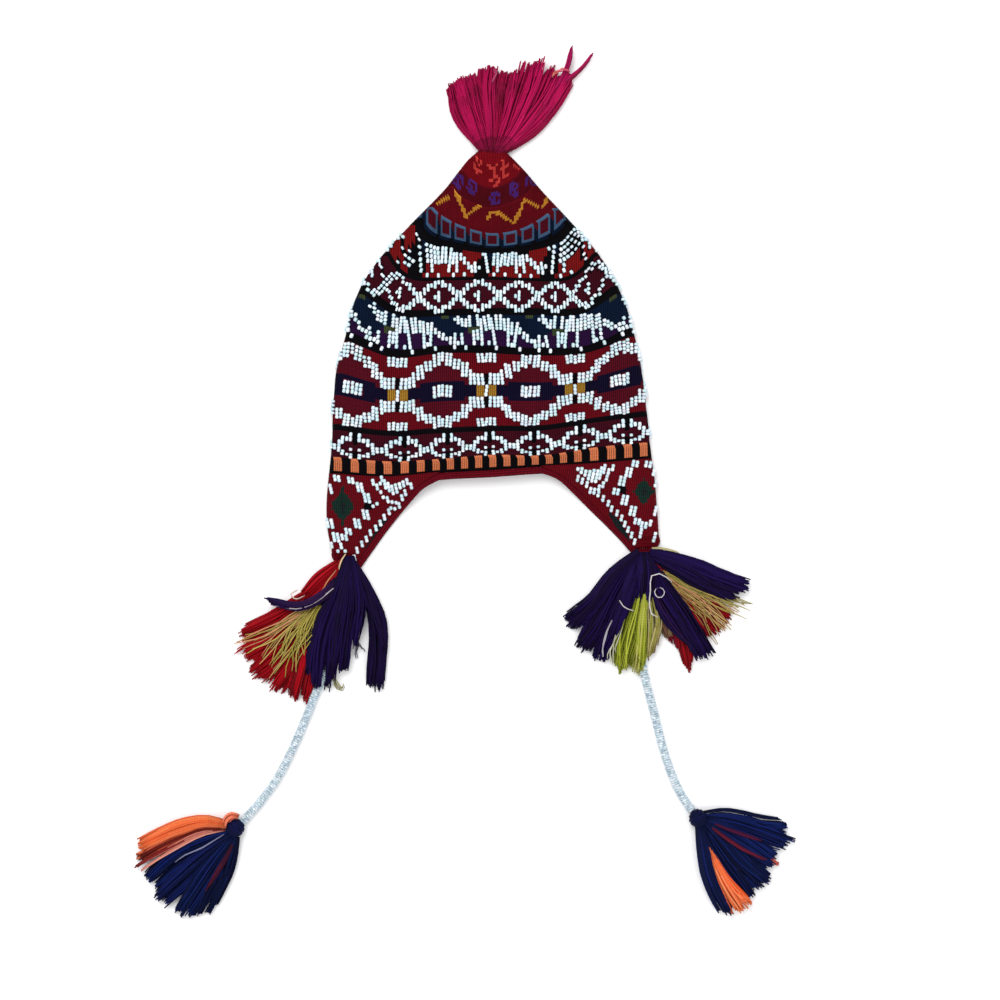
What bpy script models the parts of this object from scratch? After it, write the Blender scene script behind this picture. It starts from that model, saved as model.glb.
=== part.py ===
"""A knitted chullo hat with two ear flaps, laid flat with its face up.

Metres, +Z up. The hat lies on the plane Z = 0, the top of the hat points along +Y and the
origin is on that plane, on the middle line of the back panel.
"""

import math

import bmesh
import bpy
from mathutils import Vector

# Knitted crown
CROWN_WIDTH = 0.260  # laid flat, fold to fold at the rim
CROWN_HEIGHT = 0.256  # rim to the foot of the top tassel, along the middle
ORIGIN_HEIGHT = 0.080  # rim to the origin
WALL = 0.0030  # knitted wall
FOLD_RADIUS = 0.0046  # outside of the folds at the two sides
CROWN_LOFT = 0.015  # how far the front panel stands above the folds
CLEARANCE = 0.0003  # between pieces that touch
SEAM_GAP = 0.0004  # between the crown and a flap

# Ear flaps and the edging round the whole rim
FLAP_WIDTH = 0.134  # along the rim, without the edging
FLAP_DROP = 0.070  # rim to tip, without the edging
FLAP_TIP_WIDTH = 0.008
FLAP_FLARE = 0.009  # extra width at each upper corner
FLAP_FLARE_REACH = 0.15  # how far down it reaches, as a share of FLAP_DROP
FLAP_SET_LEFT = 0.0150  # from the fold in to the middle of the left flap
FLAP_SET_RIGHT = 0.0160  # the same on the right
EDGING_WIDTH = 0.0054
EDGING_GAP = 0.0004  # between the edging and the fabric's edge
MITRE_LIMIT = 1.6  # the longest corner of the edging, as a share of its width
EDGE_LEAN = 1.5  # the edging's width measured straight across the flap
FLAP_STATION = 0.9  # where the flap's tip hangs from the rim
FLAP_SINK = 0.55  # how far down the flap has sunk from the crown's height to its own

# Ties and tassels
TIE_DIAMETER = 0.0072
TOP_TASSEL_LENGTH = 0.072
TOP_TASSEL_NECK = 0.015
FLAP_TASSEL_LENGTH = 0.098
FLAP_TASSEL_HEAD = 0.018
END_TASSEL_LENGTH = 0.082
END_TASSEL_HEAD = 0.014

# Half-widths of the hat, as shares of half of CROWN_WIDTH, at heights above the rim that are
# shares of CROWN_HEIGHT. Heights below nought are the fold lines of the ear flaps.
OUTLINE_COLUMNS = ("height", "left", "right")
OUTLINE = (
    (-0.340, 0.950, 1.036),
    (-0.281, 0.970, 1.034),
    (-0.188, 1.008, 1.033),
    (-0.109, 1.015, 1.022),
    (-0.031, 1.004, 1.010),
    (0.063, 0.985, 0.985),
    (0.219, 0.972, 0.954),
    (0.313, 0.954, 0.929),
    (0.406, 0.905, 0.892),
    (0.500, 0.862, 0.843),
    (0.594, 0.782, 0.763),
    (0.688, 0.646, 0.646),
    (0.780, 0.475, 0.487),
    (0.875, 0.292, 0.312),
    (0.938, 0.194, 0.206),
    (0.969, 0.145, 0.147),
    (1.000, 0.078, 0.084),
)

# Heights of the knitted bands' lower edges across the front, as shares of CROWN_HEIGHT, at
# stations from the left fold (-1) to the right fold (1).
ROW_STATIONS = (-1.0, -0.667, -0.333, 0.0, 0.333, 0.667, 1.0)
ROWS = (
    (-0.012, -0.022, -0.008, 0.000, 0.012, 0.020, 0.034),  # squares
    (0.041, 0.027, 0.034, 0.047, 0.046, 0.070, 0.086),  # lower chain of diamonds
    (0.144, 0.123, 0.131, 0.137, 0.139, 0.162, 0.184),  # stepped diamonds
    (0.412, 0.359, 0.371, 0.370, 0.363, 0.372, 0.425),  # lower animals
    (0.562, 0.491, 0.489, 0.491, 0.491, 0.495, 0.562),  # upper chain of diamonds
    (0.681, 0.606, 0.600, 0.600, 0.597, 0.605, 0.678),  # upper animals
    (0.775, 0.719, 0.697, 0.682, 0.689, 0.716, 0.765),  # open squares
    (0.822, 0.788, 0.757, 0.737, 0.749, 0.783, 0.819),  # zigzag
    (0.888, 0.857, 0.838, 0.831, 0.838, 0.857, 0.888),  # flowers
    (0.934, 0.913, 0.899, 0.894, 0.899, 0.913, 0.934),  # hooks
    (0.982, 0.971, 0.965, 0.962, 0.965, 0.971, 0.982),  # plain top
    (1.000, 1.000, 1.000, 1.000, 1.000, 1.000, 1.000),  # foot of the tassel
)
RINGS_IN_BAND = (1, 1, 3, 2, 1, 1, 1, 1, 1, 1, 1)

# The edging's section: shares of EDGING_WIDTH out from the edge and of half of WALL up
EDGING_SECTION = ((0, -0.8), (0, 0.8), (0.3, 1), (0.8, 0.8), (1, 0), (0.8, -0.8), (0.3, -1))

# How far the front panel stands up in the middle, as shares of CROWN_LOFT.
LOFT_COLUMNS = ("height", "loft")
LOFT = ((-0.10, 0.56), (0.0, 0.62), (0.25, 0.95), (0.50, 1.00), (0.70, 0.80), (0.85, 0.42), (1.0, 0.02))

# Shallow dents in the front panel: place as shares of half of CROWN_WIDTH and of CROWN_HEIGHT,
# radius as a share of CROWN_WIDTH, depth as a share of CROWN_LOFT.
DENT_COLUMNS = ("across", "height", "radius", "depth")
DENTS = (
    (-0.58, 0.02, 0.11, 0.20),
    (0.34, 0.06, 0.10, 0.14),
    (-0.30, 0.47, 0.10, 0.12),
    (0.42, 0.58, 0.09, 0.16),
    (0.02, 0.70, 0.09, 0.14),
)

# Routes of the two ties, in metres from where they leave the flaps' tips: to the right, then down.
TIE_ROUTE_LEFT = (
    (0.0000, 0.0000), (-0.0010, -0.0150), (-0.0040, -0.0370), (-0.0095, -0.0575), (-0.0170, -0.0770),
    (-0.0256, -0.0936), (-0.0328, -0.1120), (-0.0408, -0.1312), (-0.0488, -0.1488), (-0.0576, -0.1656),
    (-0.0690, -0.1816), (-0.0780, -0.1925), (-0.0864, -0.2012),
)
TIE_ROUTE_RIGHT = (
    (0.0000, 0.0000), (-0.0012, -0.0170), (-0.0022, -0.0370), (-0.0022, -0.0580), (-0.0010, -0.0760),
    (0.0014, -0.0920), (0.0058, -0.1104), (0.0114, -0.1320), (0.0170, -0.1544), (0.0234, -0.1736),
    (0.0306, -0.1896), (0.0402, -0.2040),
)
TIE_POINTS = 15

# Locks of the tassels. The cut end of each is to the right of and above the head, bow is how far
# its middle is pushed to the right of its own run, width and thickness are its own, and lift is
# its height over the surface. All are shares of the tassel's length.
LOCK_COLUMNS = ("right", "up", "bow", "width", "thickness", "lift")
TOP_LOCKS = (
    (-0.36, 0.70, -0.10, 0.24, 0.14, 0.00),
    (-0.20, 0.78, -0.05, 0.25, 0.17, 0.03),
    (0.00, 0.83, -0.02, 0.25, 0.18, 0.02),
    (0.20, 0.82, 0.00, 0.25, 0.17, 0.00),
    (0.40, 0.83, 0.00, 0.25, 0.19, 0.04),
    (0.60, 0.83, 0.01, 0.25, 0.18, 0.02),
    (0.79, 0.82, 0.02, 0.24, 0.16, 0.01),
    (0.90, 0.72, 0.06, 0.22, 0.14, 0.00),
    (0.55, 0.45, 0.10, 0.26, 0.15, 0.00),
)
FLAP_LOCKS_LEFT = (
    (-0.63, -0.22, 0.02, 0.13, 0.09, 0.06),
    (-0.86, -0.50, -0.02, 0.24, 0.10, 0.00),
    (-0.80, -0.73, 0.02, 0.26, 0.10, 0.01),
    (-0.62, -0.92, 0.00, 0.27, 0.10, 0.00),
    (-0.40, -1.00, -0.01, 0.26, 0.10, 0.01),
    (-0.22, -0.86, 0.02, 0.26, 0.13, 0.06),
    (-0.08, -0.62, 0.00, 0.24, 0.13, 0.06),
    (0.19, -0.88, -0.09, 0.15, 0.11, 0.00),
)
FLAP_LOCKS_RIGHT = (
    (-0.61, -0.52, 0.00, 0.23, 0.10, 0.00),
    (-0.48, -0.74, 0.04, 0.24, 0.10, 0.01),
    (-0.34, -0.83, 0.03, 0.22, 0.11, 0.00),
    (-0.14, -0.86, 0.02, 0.26, 0.12, 0.06),
    (0.04, -0.82, 0.00, 0.26, 0.12, 0.06),
    (0.32, -0.84, 0.00, 0.20, 0.10, 0.01),
    (0.52, -0.76, 0.00, 0.22, 0.11, 0.01),
    (0.73, -0.46, 0.00, 0.26, 0.11, 0.01),
    (0.84, -0.20, -0.03, 0.20, 0.11, 0.03),
)
END_LOCKS_LEFT = (
    (-0.95, -0.26, 0.13, 0.22, 0.14, 0.02),
    (-0.86, -0.54, 0.05, 0.26, 0.14, 0.00),
    (-0.72, -0.71, 0.02, 0.25, 0.14, 0.00),
    (-0.53, -0.84, 0.02, 0.26, 0.15, 0.01),
    (-0.35, -0.85, 0.03, 0.24, 0.14, 0.00),
    (-0.20, -0.62, 0.06, 0.20, 0.12, 0.00),
)
END_LOCKS_RIGHT = (
    (0.90, -0.12, -0.02, 0.18, 0.13, 0.00),
    (0.84, -0.30, -0.02, 0.24, 0.15, 0.02),
    (0.75, -0.52, 0.00, 0.26, 0.16, 0.01),
    (0.60, -0.72, 0.00, 0.26, 0.15, 0.00),
    (0.45, -0.90, -0.01, 0.23, 0.14, 0.01),
    (0.28, -0.88, -0.04, 0.20, 0.12, 0.00),
)
LOCK_SIDES = 8
ROOT_STEP = 0.00013  # each lock's root is this much higher than the last one's
LOCK_SECTIONS = ((0.0, 0.45), (0.22, 0.72), (0.5, 1.0), (0.8, 1.0), (1.0, 0.72))  # place, width share

FRONT_STEPS = 16
BACK_STEPS = 8
FOLD_STEPS = 4
LOFT_POWER = 2.2
FLAP_ROWS = 12
NUDGE = 1e-3  # step for slopes, in shares

# Colours of the finishes: red, green, blue, then roughness
CRIMSON_WOOL = (0.18, 0.006, 0.018, 0.95)
DARK_WOOL = (0.16, 0.010, 0.030, 0.95)
MAGENTA_YARN = (0.30, 0.004, 0.045, 0.90)
INDIGO_YARN = (0.030, 0.008, 0.130, 0.90)
NAVY_YARN = (0.008, 0.012, 0.120, 0.90)
WHITE_BEADS = (0.72, 0.80, 0.84, 0.35)


def smooth(t):
    t = min(max(t, 0.0), 1.0)
    return t * t * (3 - 2 * t)


def curve_through(stations, values, at):
    """A smooth curve through values at rising stations."""
    at = min(max(at, stations[0]), stations[-1])
    i = 0
    while i < len(stations) - 2 and at > stations[i + 1]:
        i += 1

    def slope(k):
        low, high = max(k - 1, 0), min(k + 1, len(stations) - 1)
        return (values[high] - values[low]) / (stations[high] - stations[low])

    span = stations[i + 1] - stations[i]
    t = (at - stations[i]) / span
    rise = values[i + 1] - values[i]
    m0, m1 = slope(i) * span, slope(i + 1) * span
    return values[i] + t * (m0 + t * (3 * rise - 2 * m0 - m1 + t * (m0 + m1 - 2 * rise)))


def column(table, names, name):
    return [row[names.index(name)] for row in table]


def half_width(y, side):
    """From the middle line to a fold at height y. side is -1 on the left and 1 on the right."""
    height = (y + ORIGIN_HEIGHT) / CROWN_HEIGHT
    name = "left" if side < 0 else "right"
    heights = column(OUTLINE, OUTLINE_COLUMNS, "height")
    return curve_through(heights, column(OUTLINE, OUTLINE_COLUMNS, name), height) * CROWN_WIDTH / 2


def row_y(row, station):
    """Y of a knitted row, where row counts down the table ROWS and may lie between two rows."""
    heights = [curve_through(ROW_STATIONS, heights, station) for heights in ROWS]
    return curve_through(range(len(ROWS)), heights, row) * CROWN_HEIGHT - ORIGIN_HEIGHT


def rim_y(station, steps):
    """Y of the crown's lower edge, which runs straight from one of its stations to the next."""
    place = (station + 1) * steps / 2
    low = min(int(place), steps - 1)
    ends = [row_y(0, -1 + 2 * (low + i) / steps) for i in (0, 1)]
    return ends[0] + (ends[1] - ends[0]) * (place - low)


def front_z(x, y, station):
    """Height of the front panel's outside."""
    height = (y + ORIGIN_HEIGHT) / CROWN_HEIGHT
    loft = curve_through(
        column(LOFT, LOFT_COLUMNS, "height"), column(LOFT, LOFT_COLUMNS, "loft"), height
    )
    crown = 1 - abs(station) ** LOFT_POWER
    z = 2 * FOLD_RADIUS + CROWN_LOFT * loft * crown
    for across, up, radius, depth in DENTS:
        away = math.hypot(
            x - across * CROWN_WIDTH / 2, y + ORIGIN_HEIGHT - up * CROWN_HEIGHT
        )
        z -= depth * CROWN_LOFT * crown * math.exp(-((away / (radius * CROWN_WIDTH)) ** 2))
    return z


def ring_stations():
    """Once round the hat as (station, turn): turn is 90 on the front, -90 on the back, in degrees."""
    front = [(-1 + 2 * i / FRONT_STEPS, 90.0) for i in range(FRONT_STEPS + 1)]
    turns = [90 - 180 * i / FOLD_STEPS for i in range(1, FOLD_STEPS)]
    back = [(1 - 2 * i / BACK_STEPS, -90.0) for i in range(BACK_STEPS + 1)]
    return front + [(1.0, t) for t in turns] + back + [(-1.0, t) for t in reversed(turns)]


def crown_point(row, station, turn):
    y = row_y(row, station)
    side = -1 if station < 0 else 1
    reach = half_width(y, side) - FOLD_RADIUS
    x = station * reach + side * FOLD_RADIUS * math.cos(math.radians(turn)) * (abs(station) == 1)
    if turn == 90:
        z = front_z(x, y, station)
    elif turn == -90:
        z = 0.0
    else:
        z = FOLD_RADIUS * (1 + math.sin(math.radians(turn)))
    return Vector((x, y, z))


def flap_half_width(down):
    """Half of the flap's width, down from the rim (0) to the tip (1)."""
    straight = FLAP_WIDTH / 2 + (FLAP_TIP_WIDTH - FLAP_WIDTH) / 2 * down
    return straight + FLAP_FLARE * max(0.0, 1 - down / FLAP_FLARE_REACH) ** 2


def flap_inset(side):
    return FLAP_SET_LEFT if side < 0 else FLAP_SET_RIGHT


def flap_columns(side, down):
    """Places round the fold, from the flap's back edge to its front edge, close together on the fold."""
    inset, half = flap_inset(side), flap_half_width(down)
    quarter = FOLD_RADIUS * math.pi / 2
    last = inset + half
    first = inset - half
    front = max(quarter, first + 0.3 * (last - first))
    back = max(-quarter, first + 0.25 * (front - first))
    places = [first]
    for low, high, count in ((first, back, 4), (back, front, 6), (front, last, 8)):
        places += [low + (high - low) * (i + 1) / count for i in range(count)]
    return places


def flap_point(side, along, down):
    """A point of the outside of a flap, or of the edging past it.

    along is measured round the fold from its outermost line towards the middle of the front, and
    down runs from the rim (0) to the tip (1). Near the tip the part that is turned under gets
    short, and the fold opens until the flap lies flat.
    """
    inset = flap_inset(side)
    half = flap_half_width(max(down, 0.0))
    arc = FOLD_RADIUS * math.pi
    reach = min(max((half - inset + EDGING_WIDTH * EDGE_LEAN + arc / 2) / arc, 0.01), 1.0)
    turn = math.pi * smooth(reach)
    radius = arc / turn
    level = radius * (1 - math.cos(reach * turn)) + (WALL + CLEARANCE) * max(0.0, math.cos(reach * turn))

    inward = max(0.0, along - arc / 2)
    wide = half_width(-ORIGIN_HEIGHT, side)
    station = side * max(0.0, 1 - max(0.0, abs(along) - arc / 2) / (wide - FOLD_RADIUS))
    top_y = rim_y(station, FRONT_STEPS if along > 0 else BACK_STEPS) - SEAM_GAP
    tip_y = row_y(0, side * FLAP_STATION) - SEAM_GAP - FLAP_DROP
    y = top_y + (tip_y - top_y) * down
    fold = half_width(y, side) - FOLD_RADIUS

    round_fold = arc / 2 - along
    if round_fold <= 0:
        hung = front_z(side * (fold - inward), y, side * (1 - inward / fold)) + level - 2 * FOLD_RADIUS
        past = smooth((along - max(half - inset, arc / 2)) / (2 * inset))
        low = level - (level - WALL - 2 * CLEARANCE) * past
        z = hung + (low - hung) * smooth(down / FLAP_SINK)
        return Vector((side * (fold - inward), y, z))
    angle = min(round_fold, arc) / radius
    rest = max(0.0, round_fold - arc)
    x = fold + radius * math.sin(angle) + rest * math.cos(angle)
    z = level - radius * (1 - math.cos(angle)) - rest * math.sin(angle)
    return Vector((side * x, y, max(z, 0.0)))


def normal_of(point_at, a, b):
    """Normal of a surface point_at(a, b)."""
    over_a = point_at(a + NUDGE, b) - point_at(a - NUDGE, b)
    over_b = point_at(a, b + NUDGE) - point_at(a, b - NUDGE)
    return over_a.cross(over_b).normalized()


def clear_scene():
    for obj in list(bpy.data.objects):
        bpy.data.objects.remove(obj)
    for group in list(bpy.data.collections):
        bpy.data.collections.remove(group)


def new_collection(name):
    group = bpy.data.collections.new(name)
    bpy.context.scene.collection.children.link(group)
    return group


def finish_of(name, colour):
    material = bpy.data.materials.new(name)
    material.use_nodes = True
    surface = material.node_tree.nodes["Principled BSDF"]
    surface.inputs["Base Color"].default_value = (*colour[:3], 1)
    surface.inputs["Roughness"].default_value = colour[3]
    surface.inputs["Metallic"].default_value = 0
    return material


def object_from(name, bm, group, material):
    mesh = bpy.data.meshes.new(name)
    bm.to_mesh(mesh)
    bm.free()
    mesh.materials.append(material)
    obj = bpy.data.objects.new(name, mesh)
    group.objects.link(obj)
    mesh.shade_smooth()
    mesh.set_sharp_from_angle(angle=math.radians(50))
    return obj


def loft(bm, loops, closed_loops=True, joined_ends=False):
    """Quads between rows of points. Returns the rows of vertices."""
    rows = [[bm.verts.new(point) for point in loop] for loop in loops]
    pairs = list(zip(rows, rows[1:]))
    if joined_ends:
        pairs.append((rows[-1], rows[0]))
    for low, high in pairs:
        count = len(low)
        for i in range(count if closed_loops else count - 1):
            j = (i + 1) % count
            bm.faces.new((low[i], low[j], high[j], high[i]))
    return rows


def give_wall(obj):
    wall = obj.modifiers.new("wall", "SOLIDIFY")
    wall.thickness = WALL
    wall.offset = -1
    wall.use_even_offset = True


def make_crown(group, material):
    """One ring of points for each knitted row that is followed, closed at the foot of the tassel."""
    places = [0.0]
    for band, count in enumerate(RINGS_IN_BAND):
        places += [band + (i + 1) / count for i in range(count)]
    loops = [[crown_point(row, s, t) for s, t in ring_stations()] for row in places]
    bm = bmesh.new()
    rows = loft(bm, loops)
    bm.faces.new(rows[-1])
    bmesh.ops.recalc_face_normals(bm, faces=bm.faces[:])
    crown = object_from("crown", bm, group, material)
    give_wall(crown)
    return crown


def make_flap(name, side, group, material):
    loops = []
    for i in range(FLAP_ROWS + 1):
        down = i / FLAP_ROWS
        loops.append([flap_point(side, along, down) for along in flap_columns(side, down)])
    bm = bmesh.new()
    loft(bm, loops, closed_loops=False)
    if side < 0:
        bmesh.ops.reverse_faces(bm, faces=bm.faces[:])
    flap = object_from(name, bm, group, material)
    give_wall(flap)
    return flap


def edging_section(point_at, out, mitre):
    """A section of the edging: point_at(distance past the edge along out) gives (point, normal)."""
    half = WALL / 2
    section = []
    for share, level in EDGING_SECTION:
        point, normal = point_at(out * (EDGING_GAP + EDGING_WIDTH * share) * mitre)
        section.append(point + normal * (level * half - half))
    return section


def flap_edging(side):
    """Sections down a flap's front edge, round its tip and up its back edge."""
    inset = flap_inset(side)
    halves = [(i / FLAP_ROWS, flap_half_width(i / FLAP_ROWS)) for i in range(FLAP_ROWS + 1)]
    path = [Vector((inset + half, down * FLAP_DROP)) for down, half in halves]
    path += [Vector((along, FLAP_DROP)) for along in flap_columns(side, 1)[-5:1:-4]]
    path += [Vector((inset - half, down * FLAP_DROP)) for down, half in reversed(halves)]
    rim = Vector((EDGING_WIDTH, 0))
    path = [path[0] + rim] + path + [path[-1] - rim]

    def point_at(place, past):
        along, down = place.x + past.x, (place.y + past.y) / FLAP_DROP
        normal = normal_of(lambda a, b: flap_point(side, a, b), along, down) * side
        return flap_point(side, along, down), normal

    sections = []
    for before, here, after in zip(path, path[1:], path[2:]):
        come = (here - before).normalized()
        leave = (after - here).normalized()
        out = Vector((come.y + leave.y, -come.x - leave.x)).normalized()
        mitre = min(1 / max(out.dot(Vector((come.y, -come.x))), 0.1), MITRE_LIMIT)
        sections.append(edging_section(lambda past: point_at(here, past), out, mitre))
    return sections


def rim_edging(first, last, turn):
    """Sections along the crown's lower edge, at its stations between two others."""

    def point_at(station, past):
        def place(row, across):
            point = crown_point(0, across, turn)
            point.y -= row
            if turn > 0:
                point.z = front_z(point.x, point.y, across)
            return point

        normal = normal_of(place, past.y, station)
        return place(past.y, station), normal if normal.z * turn > 0 else -normal

    stations = [
        station for station, at_turn in ring_stations()
        if at_turn == turn and min(first, last) < station < max(first, last)
    ]
    return [
        edging_section(lambda past: point_at(station, past), Vector((0, 1)), 1) for station in stations
    ]


def make_edging(group, material):
    """A flat band laid along the whole rim, one gap from the fabric's edge."""

    def flap_station(side, along):
        wide = half_width(-ORIGIN_HEIGHT, side) - FOLD_RADIUS
        inward = abs(along) - FOLD_RADIUS * math.pi / 2 + EDGING_WIDTH
        return side * (1 - inward / wide)

    spans = {}
    for side in (-1, 1):
        inset, half = flap_inset(side), flap_half_width(0)
        spans[side] = (flap_station(side, inset + half), flap_station(side, half - inset))
    loops = rim_edging(spans[-1][0], spans[1][0], 90)
    loops += flap_edging(1)
    loops += rim_edging(spans[1][1], spans[-1][1], -90)
    loops += reversed(flap_edging(-1))
    bm = bmesh.new()
    loft(bm, loops, joined_ends=True)
    bmesh.ops.recalc_face_normals(bm, faces=bm.faces[:])
    return object_from("rim_edging", bm, group, material)


def tie_start(side):
    """Where a tie leaves the flap's tip, past the edging."""
    tip = flap_point(side, flap_inset(side), 1.0)
    return Vector((tip.x, tip.y - EDGING_GAP - EDGING_WIDTH - 2 * CLEARANCE, TIE_DIAMETER / 2))


def tie_route(side):
    """Points along a tie's middle, evenly spaced on a smooth curve through the chosen points."""
    chosen = TIE_ROUTE_LEFT if side < 0 else TIE_ROUTE_RIGHT
    start = tie_start(side)
    lengths = [0.0]
    for (x0, y0), (x1, y1) in zip(chosen, chosen[1:]):
        lengths.append(lengths[-1] + math.hypot(x1 - x0, y1 - y0))
    found = []
    for i in range(TIE_POINTS):
        at = lengths[-1] * i / (TIE_POINTS - 1)
        x = curve_through(lengths, [p[0] for p in chosen], at)
        y = curve_through(lengths, [p[1] for p in chosen], at)
        found.append(start + Vector((x, y, 0)))
    return found


def make_tube(name, points, radius, group, material):
    curve = bpy.data.curves.new(name, "CURVE")
    curve.dimensions = "3D"
    curve.bevel_depth = radius
    curve.bevel_resolution = 2
    curve.use_fill_caps = True
    spline = curve.splines.new("POLY")
    spline.points.add(len(points) - 1)
    for place, point in zip(spline.points, points):
        place.co = (*point, 1)
    curve.materials.append(material)
    obj = bpy.data.objects.new(name, curve)
    group.objects.link(obj)
    return obj


def mesh_copy(obj, name, group):
    """The curve as a closed mesh, for a Boolean."""
    bpy.context.view_layer.update()
    evaluated = obj.evaluated_get(bpy.context.evaluated_depsgraph_get())
    mesh = bpy.data.meshes.new_from_object(evaluated)
    bm = bmesh.new()
    bm.from_mesh(mesh)
    bmesh.ops.remove_doubles(bm, verts=bm.verts[:], dist=1e-5)
    bmesh.ops.recalc_face_normals(bm, faces=bm.faces[:])
    bm.to_mesh(mesh)
    bm.free()
    copy = bpy.data.objects.new(name, mesh)
    copy.matrix_world = obj.matrix_world
    group.objects.link(copy)
    bpy.data.objects.remove(obj)
    return copy


def helper(obj):
    obj.hide_render = True
    obj.display_type = "WIRE"
    return obj


def make_lock(name, lock, length, head, root_z, group, material):
    """One lock of yarn: a flattened taper from the head to its cut end."""
    right, up, bow, width, thickness, lift = (share * length for share in lock)
    end = Vector((right, up, 0))
    push = end.normalized().cross(Vector((0, 0, 1))) * bow
    middle = end / 2 + push * 2
    loops = []
    for place, share in LOCK_SECTIONS:
        centre = middle * 2 * place * (1 - place) + end * place * place
        ahead = middle * 2 * (1 - 2 * place) + end * 2 * place
        aside = ahead.normalized().cross(Vector((0, 0, 1)))
        half_high = thickness / 2 * (0.75 + 0.25 * share)
        start_z = max(root_z, half_high)
        z = start_z + (lift + half_high - start_z) * smooth(place * 2)
        loops.append(
            [
                head
                + centre
                + aside * math.cos(2 * math.pi * k / LOCK_SIDES) * width / 2 * share
                + Vector((0, 0, z + math.sin(2 * math.pi * k / LOCK_SIDES) * half_high))
                for k in range(LOCK_SIDES)
            ]
        )
    bm = bmesh.new()
    rows = loft(bm, loops)
    bm.faces.new(rows[0])
    bm.faces.new(rows[-1])
    bmesh.ops.recalc_face_normals(bm, faces=bm.faces[:])
    return helper(object_from(name, bm, group, material))


def make_tassel(name, head, size, length, locks, group, helpers, material):
    """A wrapped head with locks of yarn fused to it. size is the head's width, length and height."""
    held = bpy.data.collections.new(name + "_locks")
    helpers.children.link(held)
    head_z = size[2] / 2
    for i, lock in enumerate(locks):
        root_z = head_z + i * ROOT_STEP
        make_lock(f"{name}_lock_{i + 1}", lock, length, head, root_z, held, material)
    bm = bmesh.new()
    bmesh.ops.create_uvsphere(bm, u_segments=12, v_segments=8, radius=0.5)
    for vert in bm.verts:
        vert.co = head + Vector((vert.co.x * size[0], vert.co.y * size[1], vert.co.z * size[2] + head_z))
    tassel = object_from(name, bm, group, material)
    fuse = tassel.modifiers.new("locks", "BOOLEAN")
    fuse.operation = "UNION"
    fuse.operand_type = "COLLECTION"
    fuse.collection = held
    fuse.solver = "EXACT"
    return tassel


def cut_with(obj, cutter):
    cut = obj.modifiers.new("cut", "BOOLEAN")
    cut.operation = "DIFFERENCE"
    cut.object = cutter
    cut.solver = "EXACT"


def make_side(side, group, helpers, materials):
    """A flap with its tassel, its tie and the tassel at the tie's end."""
    name = "left" if side < 0 else "right"
    make_flap(f"ear_flap_{name}", side, group, materials["flap"])
    route = tie_route(side)
    make_tube(f"tie_{name}", route, TIE_DIAMETER / 2, group, materials["tie"])

    head_size = (FLAP_TASSEL_HEAD, FLAP_TASSEL_HEAD, FLAP_TASSEL_HEAD * 0.74)
    top = route[0] + Vector((0, -head_size[1] / 2, 0))
    head = Vector((top.x, top.y, 0))
    locks = FLAP_LOCKS_LEFT if side < 0 else FLAP_LOCKS_RIGHT
    tassel = make_tassel(
        f"flap_tassel_{name}", head, head_size, FLAP_TASSEL_LENGTH, locks,
        group, helpers, materials["indigo"],
    )
    backward = (route[0] - route[1]).normalized() * head_size[1]
    channel = make_tube(
        f"channel_{name}", [route[0] + backward] + route, TIE_DIAMETER / 2 + CLEARANCE,
        helpers, materials["tie"],
    )
    cut_with(tassel, helper(mesh_copy(channel, f"tie_channel_{name}", helpers)))

    size = (END_TASSEL_HEAD, END_TASSEL_HEAD, END_TASSEL_HEAD * 0.8)
    onward = (route[-1] - route[-2]).normalized()
    head = route[-1] + onward * (size[1] / 2 - 0.001)
    head.z = 0
    locks = END_LOCKS_LEFT if side < 0 else END_LOCKS_RIGHT
    end = make_tassel(
        f"end_tassel_{name}", head, size, END_TASSEL_LENGTH, locks,
        group, helpers, materials["navy"],
    )
    socket = make_tube(
        f"socket_{name}", [route[-2], route[-1] + onward * CLEARANCE], TIE_DIAMETER / 2 + CLEARANCE,
        helpers, materials["tie"],
    )
    cut_with(end, helper(mesh_copy(socket, f"tie_socket_{name}", helpers)))


def make_hat():
    clear_scene()
    group = new_collection("chullo_hat")
    helpers = new_collection("cutters")
    helpers.hide_render = True
    materials = {
        "crown": finish_of("crimson_wool", CRIMSON_WOOL),
        "flap": finish_of("flap_wool", CRIMSON_WOOL),
        "edging": finish_of("edging_wool", DARK_WOOL),
        "magenta": finish_of("magenta_yarn", MAGENTA_YARN),
        "indigo": finish_of("indigo_yarn", INDIGO_YARN),
        "navy": finish_of("navy_yarn", NAVY_YARN),
        "tie": finish_of("white_beads", WHITE_BEADS),
    }
    make_crown(group, materials["crown"])
    make_edging(group, materials["edging"])
    neck = (TOP_TASSEL_NECK, TOP_TASSEL_NECK, TOP_TASSEL_NECK * 0.72)
    top = Vector((0, CROWN_HEIGHT - ORIGIN_HEIGHT + CLEARANCE + neck[1] / 2, 0))
    make_tassel(
        "top_tassel", top, neck, TOP_TASSEL_LENGTH, TOP_LOCKS,
        group, helpers, materials["magenta"],
    )
    for side in (-1, 1):
        make_side(side, group, helpers, materials)


make_hat()
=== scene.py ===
import math

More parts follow.
